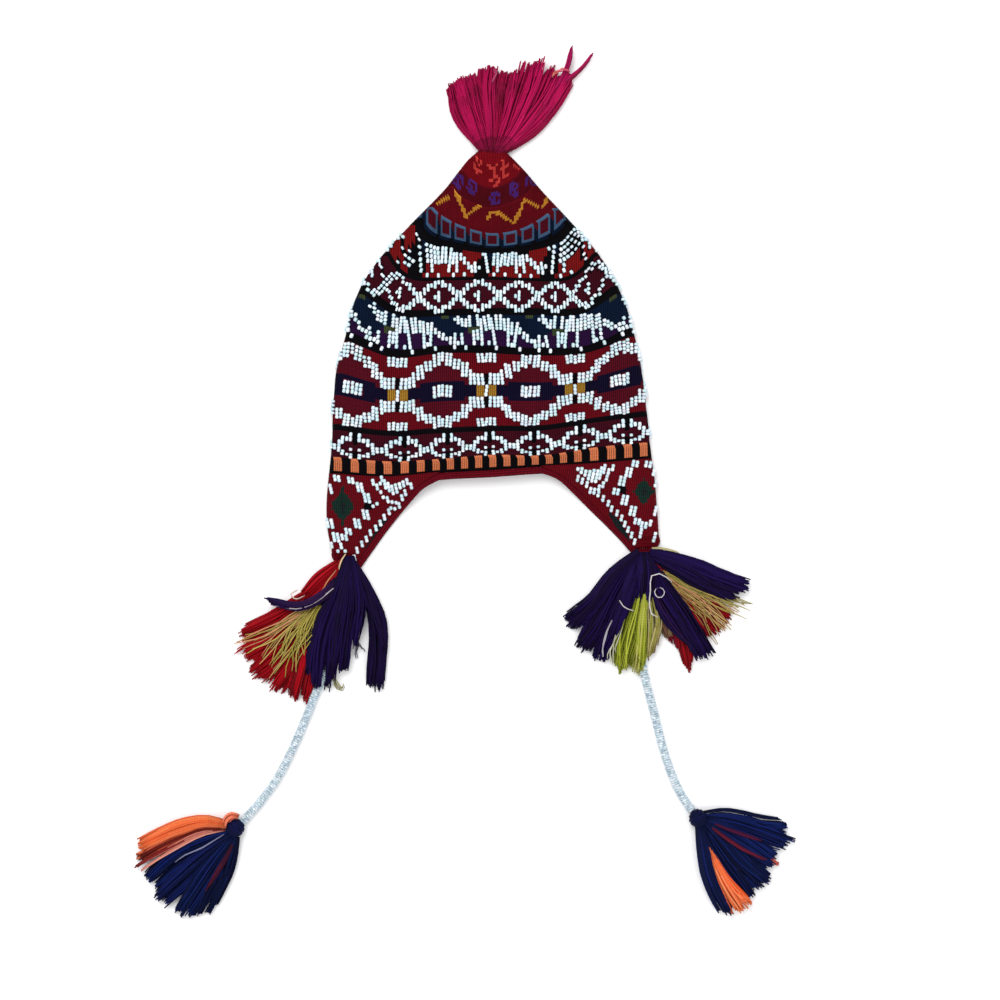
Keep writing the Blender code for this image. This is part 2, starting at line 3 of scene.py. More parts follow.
import bpy
import numpy as np
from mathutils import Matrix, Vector


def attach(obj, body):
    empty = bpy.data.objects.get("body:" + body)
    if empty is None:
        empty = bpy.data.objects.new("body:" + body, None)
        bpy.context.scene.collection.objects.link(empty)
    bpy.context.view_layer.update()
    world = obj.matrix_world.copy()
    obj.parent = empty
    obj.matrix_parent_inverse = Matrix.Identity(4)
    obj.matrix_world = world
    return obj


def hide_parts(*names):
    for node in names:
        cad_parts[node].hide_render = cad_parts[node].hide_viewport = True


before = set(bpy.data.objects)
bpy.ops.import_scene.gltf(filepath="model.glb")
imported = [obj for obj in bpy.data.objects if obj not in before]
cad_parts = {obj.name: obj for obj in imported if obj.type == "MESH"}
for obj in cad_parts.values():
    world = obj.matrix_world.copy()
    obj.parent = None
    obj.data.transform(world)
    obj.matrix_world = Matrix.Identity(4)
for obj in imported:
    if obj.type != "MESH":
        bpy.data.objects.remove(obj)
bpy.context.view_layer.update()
pi = math.pi

# The photograph's scale, and the light
view = {
    "pixel": 0.0008, "originX": 491, "originY": 370, "middle": (500, 500), "height": 2.232,
    "lens": 100, "sensor": 36, "floor": "#fbfbfc", "floorSize": 9, "floorDepth": 0.0002, "sky": 0.85,
    "aim": (0, -0.1, 0),
    "lights": (("softbox_top", (-0.5, 0.7, 1.9), 1.3, 26), ("softbox_side", (1.5, -0.9, 1.5), 1.1, 9)),
}

# Colours of the yarns, by the letter that the charts use
dye = {
    "c": "#640714", "m": "#3e0818", "k": "#060408", "n": "#06162e", "p": "#280c36", "o": "#3c442a",
    "g": "#c8862c", "G": "#a07428", "r": "#741012", "b": "#446080", "v": "#4c2474", "s": "#c8704a",
    "d": "#0e0824", "i": "#520a1a", "h": "#d2403c", "t": "#7c0816", "f": "#560614", "e": "#162c26",
    "y": "#1a2022",
}


def linear(colour):
    parts = [int(colour[i:i + 2], 16) / 255 for i in (1, 3, 5)]
    return [c / 12.92 if c <= 0.04045 else ((c + 0.055) / 1.055) ** 2.4 for c in parts] + [1.0]


# Places written as "x,y x,y"
def spots(text):
    return [tuple(map(float, part.split(","))) for part in text.split()]


def pxPoint(x, y, z=0.0):
    return Vector(((x - view["originX"]) * view["pixel"], (view["originY"] - y) * view["pixel"], z))


print("camera and light")
bpy.ops.object.select_all(action="DESELECT")
middle = pxPoint(*view["middle"])
bpy.ops.object.camera_add(location=(middle.x, middle.y, view["height"]), rotation=(0, 0, 0))
camera = bpy.context.object
camera.data.lens = view["lens"]
camera.data.sensor_width = view["sensor"]
bpy.context.scene.camera = camera

for name, place, size, power in view["lights"]:
    bpy.ops.object.light_add(type="AREA", location=place)
    light = bpy.context.object
    light.name = name
    light.data.size = size
    light.data.energy = power
    light.rotation_euler = (Vector(view["aim"]) - Vector(place)).to_track_quat("-Z", "Y").to_euler()

world = bpy.data.worlds.new("studio")
bpy.context.scene.world = world
world.use_nodes = True
world.node_tree.nodes["Background"].inputs["Color"].default_value = (1, 1, 1, 1)
world.node_tree.nodes["Background"].inputs["Strength"].default_value = view["sky"]
bpy.context.scene.view_settings.view_transform = "Standard"


class Wire:
    def __init__(self, tree, socket=None):
        self.tree = tree
        self.socket = socket

    def node(self, kind, settings=None, inputs=None, output=0):
        made = self.tree.nodes.new(kind)
        for name, value in (settings or {}).items():
            setattr(made, name, value)
        for name, value in (inputs or {}).items():
            if isinstance(value, Wire):
                self.tree.links.new(value.socket, made.inputs[name])
            else:
                made.inputs[name].default_value = value
        return Wire(self.tree, made.outputs[output])

    def math(self, operation, other=None, turned=False):
        pair = {0: self} if other is None else {0: other, 1: self} if turned else {0: self, 1: other}
        return self.node("ShaderNodeMath", {"operation": operation}, pair)

    def __add__(self, other):
        return self.math("ADD", other)

    def __sub__(self, other):
        return self.math("SUBTRACT", other)

    def __rsub__(self, other):
        return self.math("SUBTRACT", other, True)

    def __mul__(self, other):
        return self.math("MULTIPLY", other)

    __radd__ = __add__
    __rmul__ = __mul__


def newMaterial(name):
    material = bpy.data.materials.new(name)
    material.use_nodes = True
    return material, Wire(material.node_tree), material.node_tree.nodes["Principled BSDF"]


def plug(wire, shader, name):
    wire.tree.links.new(wire.socket, shader.inputs[name])


# A colour times a grey shade
def shaded(wire, colour, shade):
    grey = wire.node("ShaderNodeCombineXYZ", None, {0: shade, 1: shade, 2: shade})
    return wire.node("ShaderNodeVectorMath", {"operation": "MULTIPLY"}, {0: colour, 1: grey})


def bumped(wire, shader, height, distance):
    bump = wire.node("ShaderNodeBump", None, {"Strength": 1.0, "Distance": distance, "Height": height})
    plug(bump, shader, "Normal")


def noise(wire, scale, detail):
    place = wire.node("ShaderNodeTexCoord", None, None, 3)
    return wire.node("ShaderNodeTexNoise", None, {"Vector": place, "Scale": scale, "Detail": detail})


# The yarn's colour, and the two parts of the stitches' UV map
def yarnInputs(wire):
    uv = wire.node("ShaderNodeUVMap", {"uv_map": "stitches"})
    return [wire.node("ShaderNodeAttribute", {"attribute_name": "yarn"})] + [
        wire.node("ShaderNodeSeparateXYZ", None, {0: uv}, part) for part in (0, 1)]


def knitMaterial(name):
    material, wire, shader = newMaterial(name)
    yarn, across, down = yarnInputs(wire)
    across = across.math("FRACT")
    leg = (across * (2 * pi)).math("SINE").math("ABSOLUTE")  # two legs to a stitch
    lean = (across - 0.5).math("ABSOLUTE") * 0.84  # the legs meet in a V
    stitch = ((down - lean).math("FRACT") * pi).math("SINE")
    fuzz = noise(wire, 1500, 3)
    blotch = noise(wire, 55, 2)
    height = leg * (stitch * 0.65 + 0.35) + fuzz * 0.25
    # painted shade: darker in the valleys between the stitch legs and between the rows, times random fuzz and
    # blotches of tone
    shade = (leg * (stitch * 0.5 + 0.5) * 0.75 + 0.42) * (fuzz * 0.5 + 0.75) * (blotch * 0.5 + 0.78)
    plug(shaded(wire, yarn, shade), shader, "Base Color")
    plug(fuzz * 0.15 + 0.8, shader, "Roughness")
    shader.inputs["Specular IOR Level"].default_value = 0.06
    bumped(wire, shader, height, 0.0009)
    return material


def yarnMaterial(name):
    material, wire, shader = newMaterial(name)
    yarn, around, along = yarnInputs(wire)
    ply = ((around + along) * (2 * pi)).math("SINE")  # plies wind round the yarn
    fuzz = noise(wire, 1800, 2)
    # painted shade in the grooves between the plies, times random fuzz
    shade = (ply * 0.06 + 0.94) * (fuzz * 0.3 + 0.85)
    plug(shaded(wire, yarn, shade), shader, "Base Color")
    plug(fuzz * 0.2 + 0.72, shader, "Roughness")
    shader.inputs["Specular IOR Level"].default_value = 0.14
    bumped(wire, shader, ply * 0.4 + fuzz * 0.3, 0.0001)
    return material


def beadMaterial(name):
    material, wire, shader = newMaterial(name)
    tint = wire.node("ShaderNodeAttribute", {"attribute_name": "yarn"})
    cloud = noise(wire, 420, 1)
    plug(shaded(wire, tint, cloud * 0.14 + 0.93), shader, "Base Color")
    plug(cloud * 0.22 + 0.16, shader, "Roughness")
    shader.inputs["Coat Weight"].default_value = 0.35
    shader.inputs["Coat Roughness"].default_value = 0.12
    bumped(wire, shader, cloud, 0.0001)
    return material


def floorMaterial():
    material, wire, shader = newMaterial("pale_floor")
    plug(noise(wire, 300, 2) * 0.1 + 0.85, shader, "Roughness")
    shader.inputs["Base Color"].default_value = linear(view["floor"])
    shader.inputs["Specular IOR Level"].default_value = 0.1
    return material


print("floor")
bpy.ops.mesh.primitive_plane_add(size=view["floorSize"], location=(0, 0, -view["floorDepth"]))
floor = bpy.context.object
floor.name = "floor"
bpy.ops.object.transform_apply(location=True, rotation=False, scale=False)
floor.data.materials.append(floorMaterial())

knitWool = knitMaterial("knitted_wool")
looseYarn = yarnMaterial("loose_yarn")
glass = beadMaterial("glass_beads")


def makePiece(name, verts, faces, colours, uvs, material, domain="CORNER"):
    mesh = bpy.data.meshes.new(name)
    mesh.from_pydata(np.asarray(verts).tolist(), [], faces)
    layer = mesh.attributes.new("yarn", "FLOAT_COLOR", domain)
    layer.data.foreach_set("color", np.asarray(colours, np.float32).ravel())
    if uvs is not None:
        mesh.uv_layers.new(name="stitches").data.foreach_set("uv", np.asarray(uvs, np.float32).ravel())
    mesh.materials.append(material)
    mesh.shade_smooth()
    mesh.validate()
    piece = bpy.data.objects.new(name, mesh)
    bpy.context.scene.collection.objects.link(piece)
    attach(piece, "root")
    return piece


def choose(piece):
    bpy.ops.object.select_all(action="DESELECT")
    piece.select_set(True)
    bpy.context.view_layer.objects.active = piece


# Shape of the hat, as the frame has it
hat = {
    "width": 0.260, "height": 0.256, "origin": 0.080, "wall": 0.0026, "fold": 0.0046, "loft": 0.015,
    "backLift": 0.0016, "loftPower": 2.2,
    "outlineHeights": (-0.340, -0.281, -0.188, -0.109, -0.031, 0.063, 0.219, 0.313, 0.406, 0.500, 0.594,
                       0.688, 0.780, 0.875, 0.938, 0.969, 1.000),
    "outlineLeft": (0.950, 0.970, 1.008, 1.015, 1.004, 0.985, 0.972, 0.954, 0.905, 0.862, 0.782,
                    0.646, 0.475, 0.292, 0.194, 0.145, 0.078),
    "outlineRight": (1.036, 1.034, 1.033, 1.022, 1.010, 0.985, 0.954, 0.929, 0.892, 0.843, 0.763,
                     0.646, 0.487, 0.312, 0.206, 0.147, 0.084),
    "stations": (-1.0, -0.667, -0.333, 0.0, 0.333, 0.667, 1.0),
    "rows": (
        (-0.012, -0.022, -0.008, 0.000, 0.012, 0.020, 0.034),
        (0.041, 0.027, 0.034, 0.047, 0.046, 0.070, 0.086),
        (0.144, 0.123, 0.131, 0.137, 0.139, 0.162, 0.184),
        (0.412, 0.359, 0.371, 0.370, 0.363, 0.372, 0.425),
        (0.562, 0.491, 0.489, 0.491, 0.491, 0.495, 0.562),
        (0.681, 0.606, 0.600, 0.600, 0.597, 0.605, 0.678),
        (0.775, 0.719, 0.697, 0.682, 0.689, 0.716, 0.765),
        (0.822, 0.788, 0.757, 0.737, 0.749, 0.783, 0.819),
        (0.888, 0.857, 0.834, 0.818, 0.834, 0.857, 0.888),
        (0.934, 0.913, 0.893, 0.881, 0.893, 0.913, 0.934),
        (0.982, 0.971, 0.965, 0.962, 0.965, 0.971, 0.982),
        (1.000, 1.000, 1.000, 1.000, 1.000, 1.000, 1.000),
    ),
    "loftHeights": (-0.10, 0.0, 0.25, 0.50, 0.70, 0.85, 1.0),
    "lofts": (0.56, 0.62, 0.95, 1.00, 0.80, 0.42, 0.02),
    "dents": ((-0.58, 0.02, 0.11, 0.20), (0.34, 0.06, 0.10, 0.14), (-0.30, 0.47, 0.10, 0.12),
              (0.42, 0.58, 0.09, 0.16), (0.02, 0.70, 0.09, 0.14)),
}
flap = {
    "width": 0.134, "drop": 0.070, "tip": 0.008, "flare": 0.009, "flareReach": 0.15,
    "insetLeft": 0.0150, "insetRight": 0.0160, "edging": 0.0054, "edgingGap": 0.0004, "lean": 1.5,
    "station": 0.9, "sink": 0.55, "seam": 0.0004, "wall": 0.0030, "clear": 0.0003, "mitre": 1.6,
}


def smooth(t):
    t = np.clip(t, 0.0, 1.0)
    return t * t * (3 - 2 * t)


def unit(vectors):
    vectors = np.asarray(vectors, float)
    return vectors / np.linalg.norm(vectors, axis=-1, keepdims=True)


def curveThrough(stations, values, at):
    stations = np.asarray(stations, float)
    values = np.asarray(values, float)
    at = np.clip(np.asarray(at, float), stations[0], stations[-1])
    count = len(stations)
    i = np.clip(np.searchsorted(stations, at) - 1, 0, count - 2)
    low = np.maximum(np.arange(count) - 1, 0)
    high = np.minimum(np.arange(count) + 1, count - 1)
    reach = stations[high] - stations[low]
    if values.ndim == 2:
        reach = reach[:, None]
    slopes = (values[high] - values[low]) / reach

    def pick(table, j):
        return table[j, np.arange(table.shape[1])] if table.ndim == 2 else table[j]

    span = stations[i + 1] - stations[i]
    t = (at - stations[i]) / span
    first = pick(values, i)
    rise = pick(values, i + 1) - first
    m0 = pick(slopes, i) * span
    m1 = pick(slopes, i + 1) * span
    return first + t * (m0 + t * (3 * rise - 2 * m0 - m1 + t * (m0 + m1 - 2 * rise)))


def halfWidth(y, side):
    height = (np.asarray(y, float) + hat["origin"]) / hat["height"]
    left = curveThrough(hat["outlineHeights"], hat["outlineLeft"], height)
    right = curveThrough(hat["outlineHeights"], hat["outlineRight"], height)
    return np.where(np.asarray(side) < 0, left, right) * hat["width"] / 2


def rowY(row, station):
    station = np.atleast_1d(np.asarray(station, float))
    levels = np.array([curveThrough(hat["stations"], line, station) for line in hat["rows"]])
    row = np.full(station.shape, row) if np.ndim(row) == 0 else np.asarray(row, float)
    return curveThrough(np.arange(len(levels)), levels, row) * hat["height"] - hat["origin"]


def frontZ(x, y, station=None):
    x, y = np.asarray(x, float), np.asarray(y, float)
    if station is None:
        reach = halfWidth(y, np.where(x < 0, -1, 1)) - hat["fold"]
        station = np.clip(x / reach, -1, 1)
    loft = curveThrough(hat["loftHeights"], hat["lofts"], (y + hat["origin"]) / hat["height"])
    crown = 1 - np.abs(station) ** hat["loftPower"]
    z = 2 * hat["fold"] + hat["loft"] * loft * crown
    for across, up, radius, depth in hat["dents"]:
        away = np.hypot(x - across * hat["width"] / 2, y + hat["origin"] - up * hat["height"])
        z = z - depth * hat["loft"] * crown * np.exp(-((away / (radius * hat["width"])) ** 2))
    return z


def makeRing(row):
    station = np.linspace(-1, 1, 121)
    y = rowY(row, station)
    x = station * (halfWidth(y, np.where(station < 0, -1, 1)) - hat["fold"])
    arc = pi * hat["fold"]
    left, right = -x[0], x[-1]
    return {"row": row, "station": station, "x": x, "left": left, "right": right,
            "from": -(left + arc / 2), "to": right + arc / 2, "last": 2 * right + arc,
            "girth": 2 * (left + right) + 2 * arc}


# Points and outward normals round the hat; t runs from the middle of the front to the right
def ringPoints(ring, t):
    radius = hat["fold"]
    arc = pi * radius
    t = np.asarray(t, float)
    side = np.where(t < 0, -1.0, 1.0)
    reach = np.where(t < 0, ring["left"], ring["right"])
    past = np.abs(t) - reach
    flat = np.where(past <= 0, t, side * np.where(past >= arc, reach - (past - arc), reach))
    station = np.interp(flat, ring["x"], ring["station"])
    y = rowY(ring["row"], station)
    angle = np.clip(past / radius, 0, pi)
    low = hat["backLift"]
    x = flat + side * radius * np.sin(angle)
    turned = low + (2 * radius - low) * (1 + np.cos(angle)) / 2
    z = np.where(past <= 0, frontZ(flat, y, station), turned)
    step = 0.001
    slopeX = (frontZ(flat + step, y) - frontZ(flat - step, y)) / (2 * step)
    slopeY = (frontZ(flat, y + step) - frontZ(flat, y - step)) / (2 * step)
    normals = unit(np.stack([-slopeX, -slopeY, np.ones_like(x)], -1))
    around = np.stack([side * np.sin(angle), np.zeros_like(x), np.cos(angle)], -1)
    normals = np.where((past <= 0)[:, None], normals, around)
    return np.stack([x, y, z], -1), normals


print("ties")
ties = {
    "diameter": 0.0072, "points": 32, "around": 10, "pitch": 0.00190, "beadLong": 0.0023, "beadWide": 0.0022,
    "left": ((0.0, 0.0), (-0.0010, -0.0150), (-0.0040, -0.0370), (-0.0095, -0.0575), (-0.0170, -0.0770),
             (-0.0256, -0.0936), (-0.0328, -0.1120), (-0.0408, -0.1312), (-0.0488, -0.1488),
             (-0.0576, -0.1656), (-0.0690, -0.1816), (-0.0780, -0.1925), (-0.0864, -0.2012)),
    "right": ((0.0, 0.0), (-0.0012, -0.0170), (-0.0022, -0.0370), (-0.0022, -0.0580), (-0.0010, -0.0760),
              (0.0014, -0.0920), (0.0058, -0.1104), (0.0114, -0.1320), (0.0170, -0.1544),
              (0.0234, -0.1736), (0.0306, -0.1896), (0.0402, -0.2040)),
    "tints": ("#c2d2dc", "#aebfcb", "#9fb2c0", "#ccd6de", "#d8e0e6", "#b4c6ca"),
    # core: the cord's own colour, darkened as painted shade for the gaps between the beads
    "core": "#4c5a66", "coreSides": 10, "sleeve": 0.0011, "slant": 0.35, "seed": 31,
    "turnNoise": 0.05, "slideNoise": 0.00012, "axisNoise": 0.10,
}


def flapHalf(down):
    down = np.asarray(down, float)
    straight = flap["width"] / 2 + (flap["tip"] - flap["width"]) / 2 * down
    return straight + flap["flare"] * np.maximum(0.0, 1 - down / flap["flareReach"]) ** 2


def flapInset(side):
    return flap["insetLeft"] if side < 0 else flap["insetRight"]


def rimY(station, steps):
    place = (np.asarray(station, float) + 1) * steps / 2
    low = np.clip(place.astype(int), 0, steps - 1)
    first = rowY(0, -1 + 2 * low / steps)
    second = rowY(0, -1 + 2 * (low + 1) / steps)
    return first + (second - first) * (place - low)


# The outside of a flap: along runs round the fold to the front, down from rim (0) to tip (1)
def flapPoint(side, along, down):
    along = np.atleast_1d(np.asarray(along, float))
    down = np.atleast_1d(np.asarray(down, float)) + 0 * along
    inset = flapInset(side)
    half = flapHalf(np.maximum(down, 0))
    arc = hat["fold"] * pi
    reach = np.clip((half - inset + flap["edging"] * flap["lean"] + arc / 2) / arc, 0.01, 1.0)
    turn = pi * smooth(reach)
    radius = arc / turn
    level = radius * (1 - np.cos(reach * turn))
    level = level + (flap["wall"] + flap["clear"]) * np.maximum(0.0, np.cos(reach * turn))
    inward = np.maximum(0.0, along - arc / 2)
    wide = halfWidth(-hat["origin"], side) - hat["fold"]
    station = side * np.maximum(0.0, 1 - np.maximum(0.0, np.abs(along) - arc / 2) / wide)
    topY = np.where(along > 0, rimY(station, 16), rimY(station, 8)) - flap["seam"]
    tipY = rowY(0, side * flap["station"]) - flap["seam"] - flap["drop"]
    y = topY + (tipY - topY) * down
    fold = halfWidth(y, side) - hat["fold"]
    hung = frontZ(side * (fold - inward), y, side * (1 - inward / fold)) + level - 2 * hat["fold"]
    past = smooth((along - np.maximum(half - inset, arc / 2)) / (2 * inset))
    low = level - (level - flap["wall"] - 2 * flap["clear"]) * past
    front = np.stack([side * (fold - inward), y, hung + (low - hung) * smooth(down / flap["sink"])], -1)
    angle = np.clip(arc / 2 - along, 0, arc) / radius
    rest = np.maximum(0.0, arc / 2 - along - arc)
    x = fold + radius * np.sin(angle) + rest * np.cos(angle)
    z = np.maximum(level - radius * (1 - np.cos(angle)) - rest * np.sin(angle), 0.0)
    return np.where((along >= arc / 2)[:, None], front, np.stack([side * x, y, z], -1))


def tieRoute(side, points):
    chosen = np.array(ties["left"] if side < 0 else ties["right"])
    tip = flapPoint(side, flapInset(side), 1.0)[0]
    start = np.array([tip[0], tip[1] - flap["edgingGap"] - flap["edging"] - 2 * flap["clear"], 0])
    lengths = np.concatenate([[0], np.cumsum(np.hypot(*np.diff(chosen, axis=0).T))])
    at = np.linspace(0, lengths[-1], points)
    x, y = curveThrough(lengths, chosen[:, 0], at), curveThrough(lengths, chosen[:, 1], at)
    return start + np.stack([x, y, np.full(points, ties["diameter"] / 2)], -1)


plyTurn = 0.0022  # length of yarn in which its plies turn once


# Closed tubes along many paths of the same count of points, as vertices, faces and UVs
def tubeArrays(paths, radius, sides):
    paths = np.asarray(paths, float)
    count, steps = paths.shape[:2]
    ahead = np.gradient(paths, axis=1)
    ahead /= np.maximum(np.linalg.norm(ahead, axis=2, keepdims=True), 1e-9)
    aside = np.cross(ahead, (0.03, 0.02, 1.0))
    aside /= np.maximum(np.linalg.norm(aside, axis=2, keepdims=True), 1e-9)
    over = np.cross(aside, ahead)
    angles = 2 * pi * np.arange(sides) / sides
    radius = np.broadcast_to(np.asarray(radius, float), (count, steps))
    ring = (np.cos(angles)[:, None] * aside[:, :, None, :] + np.sin(angles)[:, None] * over[:, :, None, :])
    verts = (paths[:, :, None, :] + ring * radius[:, :, None, None]).reshape(-1, 3)
    c = np.arange(count)[:, None, None]
    k = np.arange(steps - 1)[None, :, None]
    s = np.arange(sides)[None, None, :]
    here = (c * steps + k) * sides
    nextS = (s + 1) % sides
    quads = np.stack([here + s, here + sides + s, here + sides + nextS, here + nextS], -1)
    faces = quads.reshape(-1, 4).tolist()
    runs = np.cumsum(np.linalg.norm(np.diff(paths, axis=1), axis=2), axis=1)
    lengths = np.concatenate([np.zeros((count, 1)), runs], axis=1) / plyTurn
    v0 = lengths[:, :-1, None] + 0 * s
    v1 = lengths[:, 1:, None] + 0 * s
    u0 = s / sides + 0 * v0
    u1 = (s + 1) / sides + 0 * v0
    uvs = np.stack([np.stack([u0, v0], -1), np.stack([u0, v1], -1),
                    np.stack([u1, v1], -1), np.stack([u1, v0], -1)], -2).reshape(-1, 2)
    size = steps * sides
    faces += [list(range(i * size, i * size + sides)) for i in range(count)]
    faces += [list(range((i + 1) * size - 1, (i + 1) * size - sides - 1, -1)) for i in range(count)]
    uvs = np.concatenate([uvs, np.zeros((2 * count * sides, 2))])
    return verts, faces, uvs


# A barrel along X with its two ends closed; profile is (place, radius) in halves
def beadShape(sides, profile):
    verts = [(place, r * math.cos(2 * pi * i / sides), r * math.sin(2 * pi * i / sides))
             for place, r in profile for i in range(sides)]
    faces = []
    for k in range(len(profile) - 1):
        for i in range(sides):
            j = (i + 1) % sides
            faces.append((k * sides + i, k * sides + j, (k + 1) * sides + j, (k + 1) * sides + i))
    faces.append(tuple(range(sides - 1, -1, -1)))
    faces.append(tuple((len(profile) - 1) * sides + i for i in range(sides)))
    return np.array(verts) * 0.5, [tuple(reversed(face)) for face in faces]


roundBead = beadShape(8, ((-1, 0.60), (-0.62, 0.95), (0.62, 0.95), (1, 0.60)))
plainBead = beadShape(6, ((-1, 0.70), (0, 1.0), (1, 0.70)))


# All the beads of one place as one piece; axes run through the holes
def beadPiece(name, shape, centres, axes, normals, long, wide, tints, chance):
    template, faces = shape
    count = len(centres)
    axes = unit(axes)
    over = unit(normals - axes * np.sum(axes * normals, axis=1)[:, None])
    aside = np.cross(over, axes)
    sizes = np.stack([long, wide, wide], -1) * np.ones((count, 1))
    scaled = template[None] * sizes[:, None, :]
    verts = centres[:, None, :] + (scaled[..., 0:1] * axes[:, None] + scaled[..., 1:2] * aside[:, None]
                                   + scaled[..., 2:3] * over[:, None])
    offsets = (np.arange(count) * len(template)).tolist()
    allFaces = [tuple(i + offset for i in face) for offset in offsets for face in faces]
    shades = np.array([linear(tint) for tint in tints])
    picks = shades[chance.integers(0, len(shades), count)]
    picks[:, :3] *= chance.uniform(0.86, 1.04, count)[:, None]
    colours = np.repeat(np.minimum(picks, 1.0), len(template), axis=0)
    piece = makePiece(name, verts.reshape(-1, 3), allFaces, colours, None, glass, "POINT")
    piece.data.set_sharp_from_angle(angle=math.radians(50))
    return piece


tieCores = {}
for side, name in ((-1, "left"), (1, "right")):
    route = tieRoute(side, ties["points"])
    length = float(np.sum(np.linalg.norm(np.diff(route, axis=0), axis=1)))
    verts, faces, uvs = tubeArrays([route], ties["diameter"] / 2 - ties["sleeve"], ties["coreSides"])
    # the core's dark colour is partly its own, partly painted shade in the gaps between the beads
    core = makePiece(f"tie_core_{name}", verts, faces, [linear(ties["core"])] * sum(map(len, faces)), uvs,
                     looseYarn)
    chance = np.random.default_rng(ties["seed"] + side)
    rows = int(length / ties["pitch"])
    at = (np.arange(rows) + 0.5) / rows * (ties["points"] - 1)
    fine = np.stack([np.interp(at, np.arange(ties["points"]), route[:, i]) for i in range(3)], -1)
    ahead = unit(np.gradient(fine, axis=0))
    aside = np.cross(ahead, (0, 0, 1.0))
    turn = 2 * pi * (np.arange(ties["around"])[None] + 0.5 * np.arange(rows)[:, None]) / ties["around"]
    turn = turn + chance.normal(0, ties["turnNoise"], turn.shape)
    out = np.cos(turn)[..., None] * aside[:, None] + np.sin(turn)[..., None] * np.array([0, 0, 1.0])
    reach = ties["diameter"] / 2 - ties["beadWide"] / 2
    slide = chance.normal(0, ties["slideNoise"], turn.shape)[..., None]
    centres = fine[:, None] + out * reach + ahead[:, None] * slide
    around = np.cross(out, ahead[:, None]) + ahead[:, None] * ties["slant"]
    around = around + chance.normal(0, ties["axisNoise"], around.shape)
    total = rows * ties["around"]
    sleeve = beadPiece(f"tie_beads_{name}", plainBead, centres.reshape(-1, 3), around.reshape(-1, 3),
                       out.reshape(-1, 3), ties["beadLong"] * chance.uniform(0.9, 1.05, total),
                       ties["beadWide"] * chance.uniform(0.94, 1.04, total),
                       ties["tints"], chance)
    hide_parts(f"tie_{name}")
    tieCores[name] = (core, sleeve, route, length)

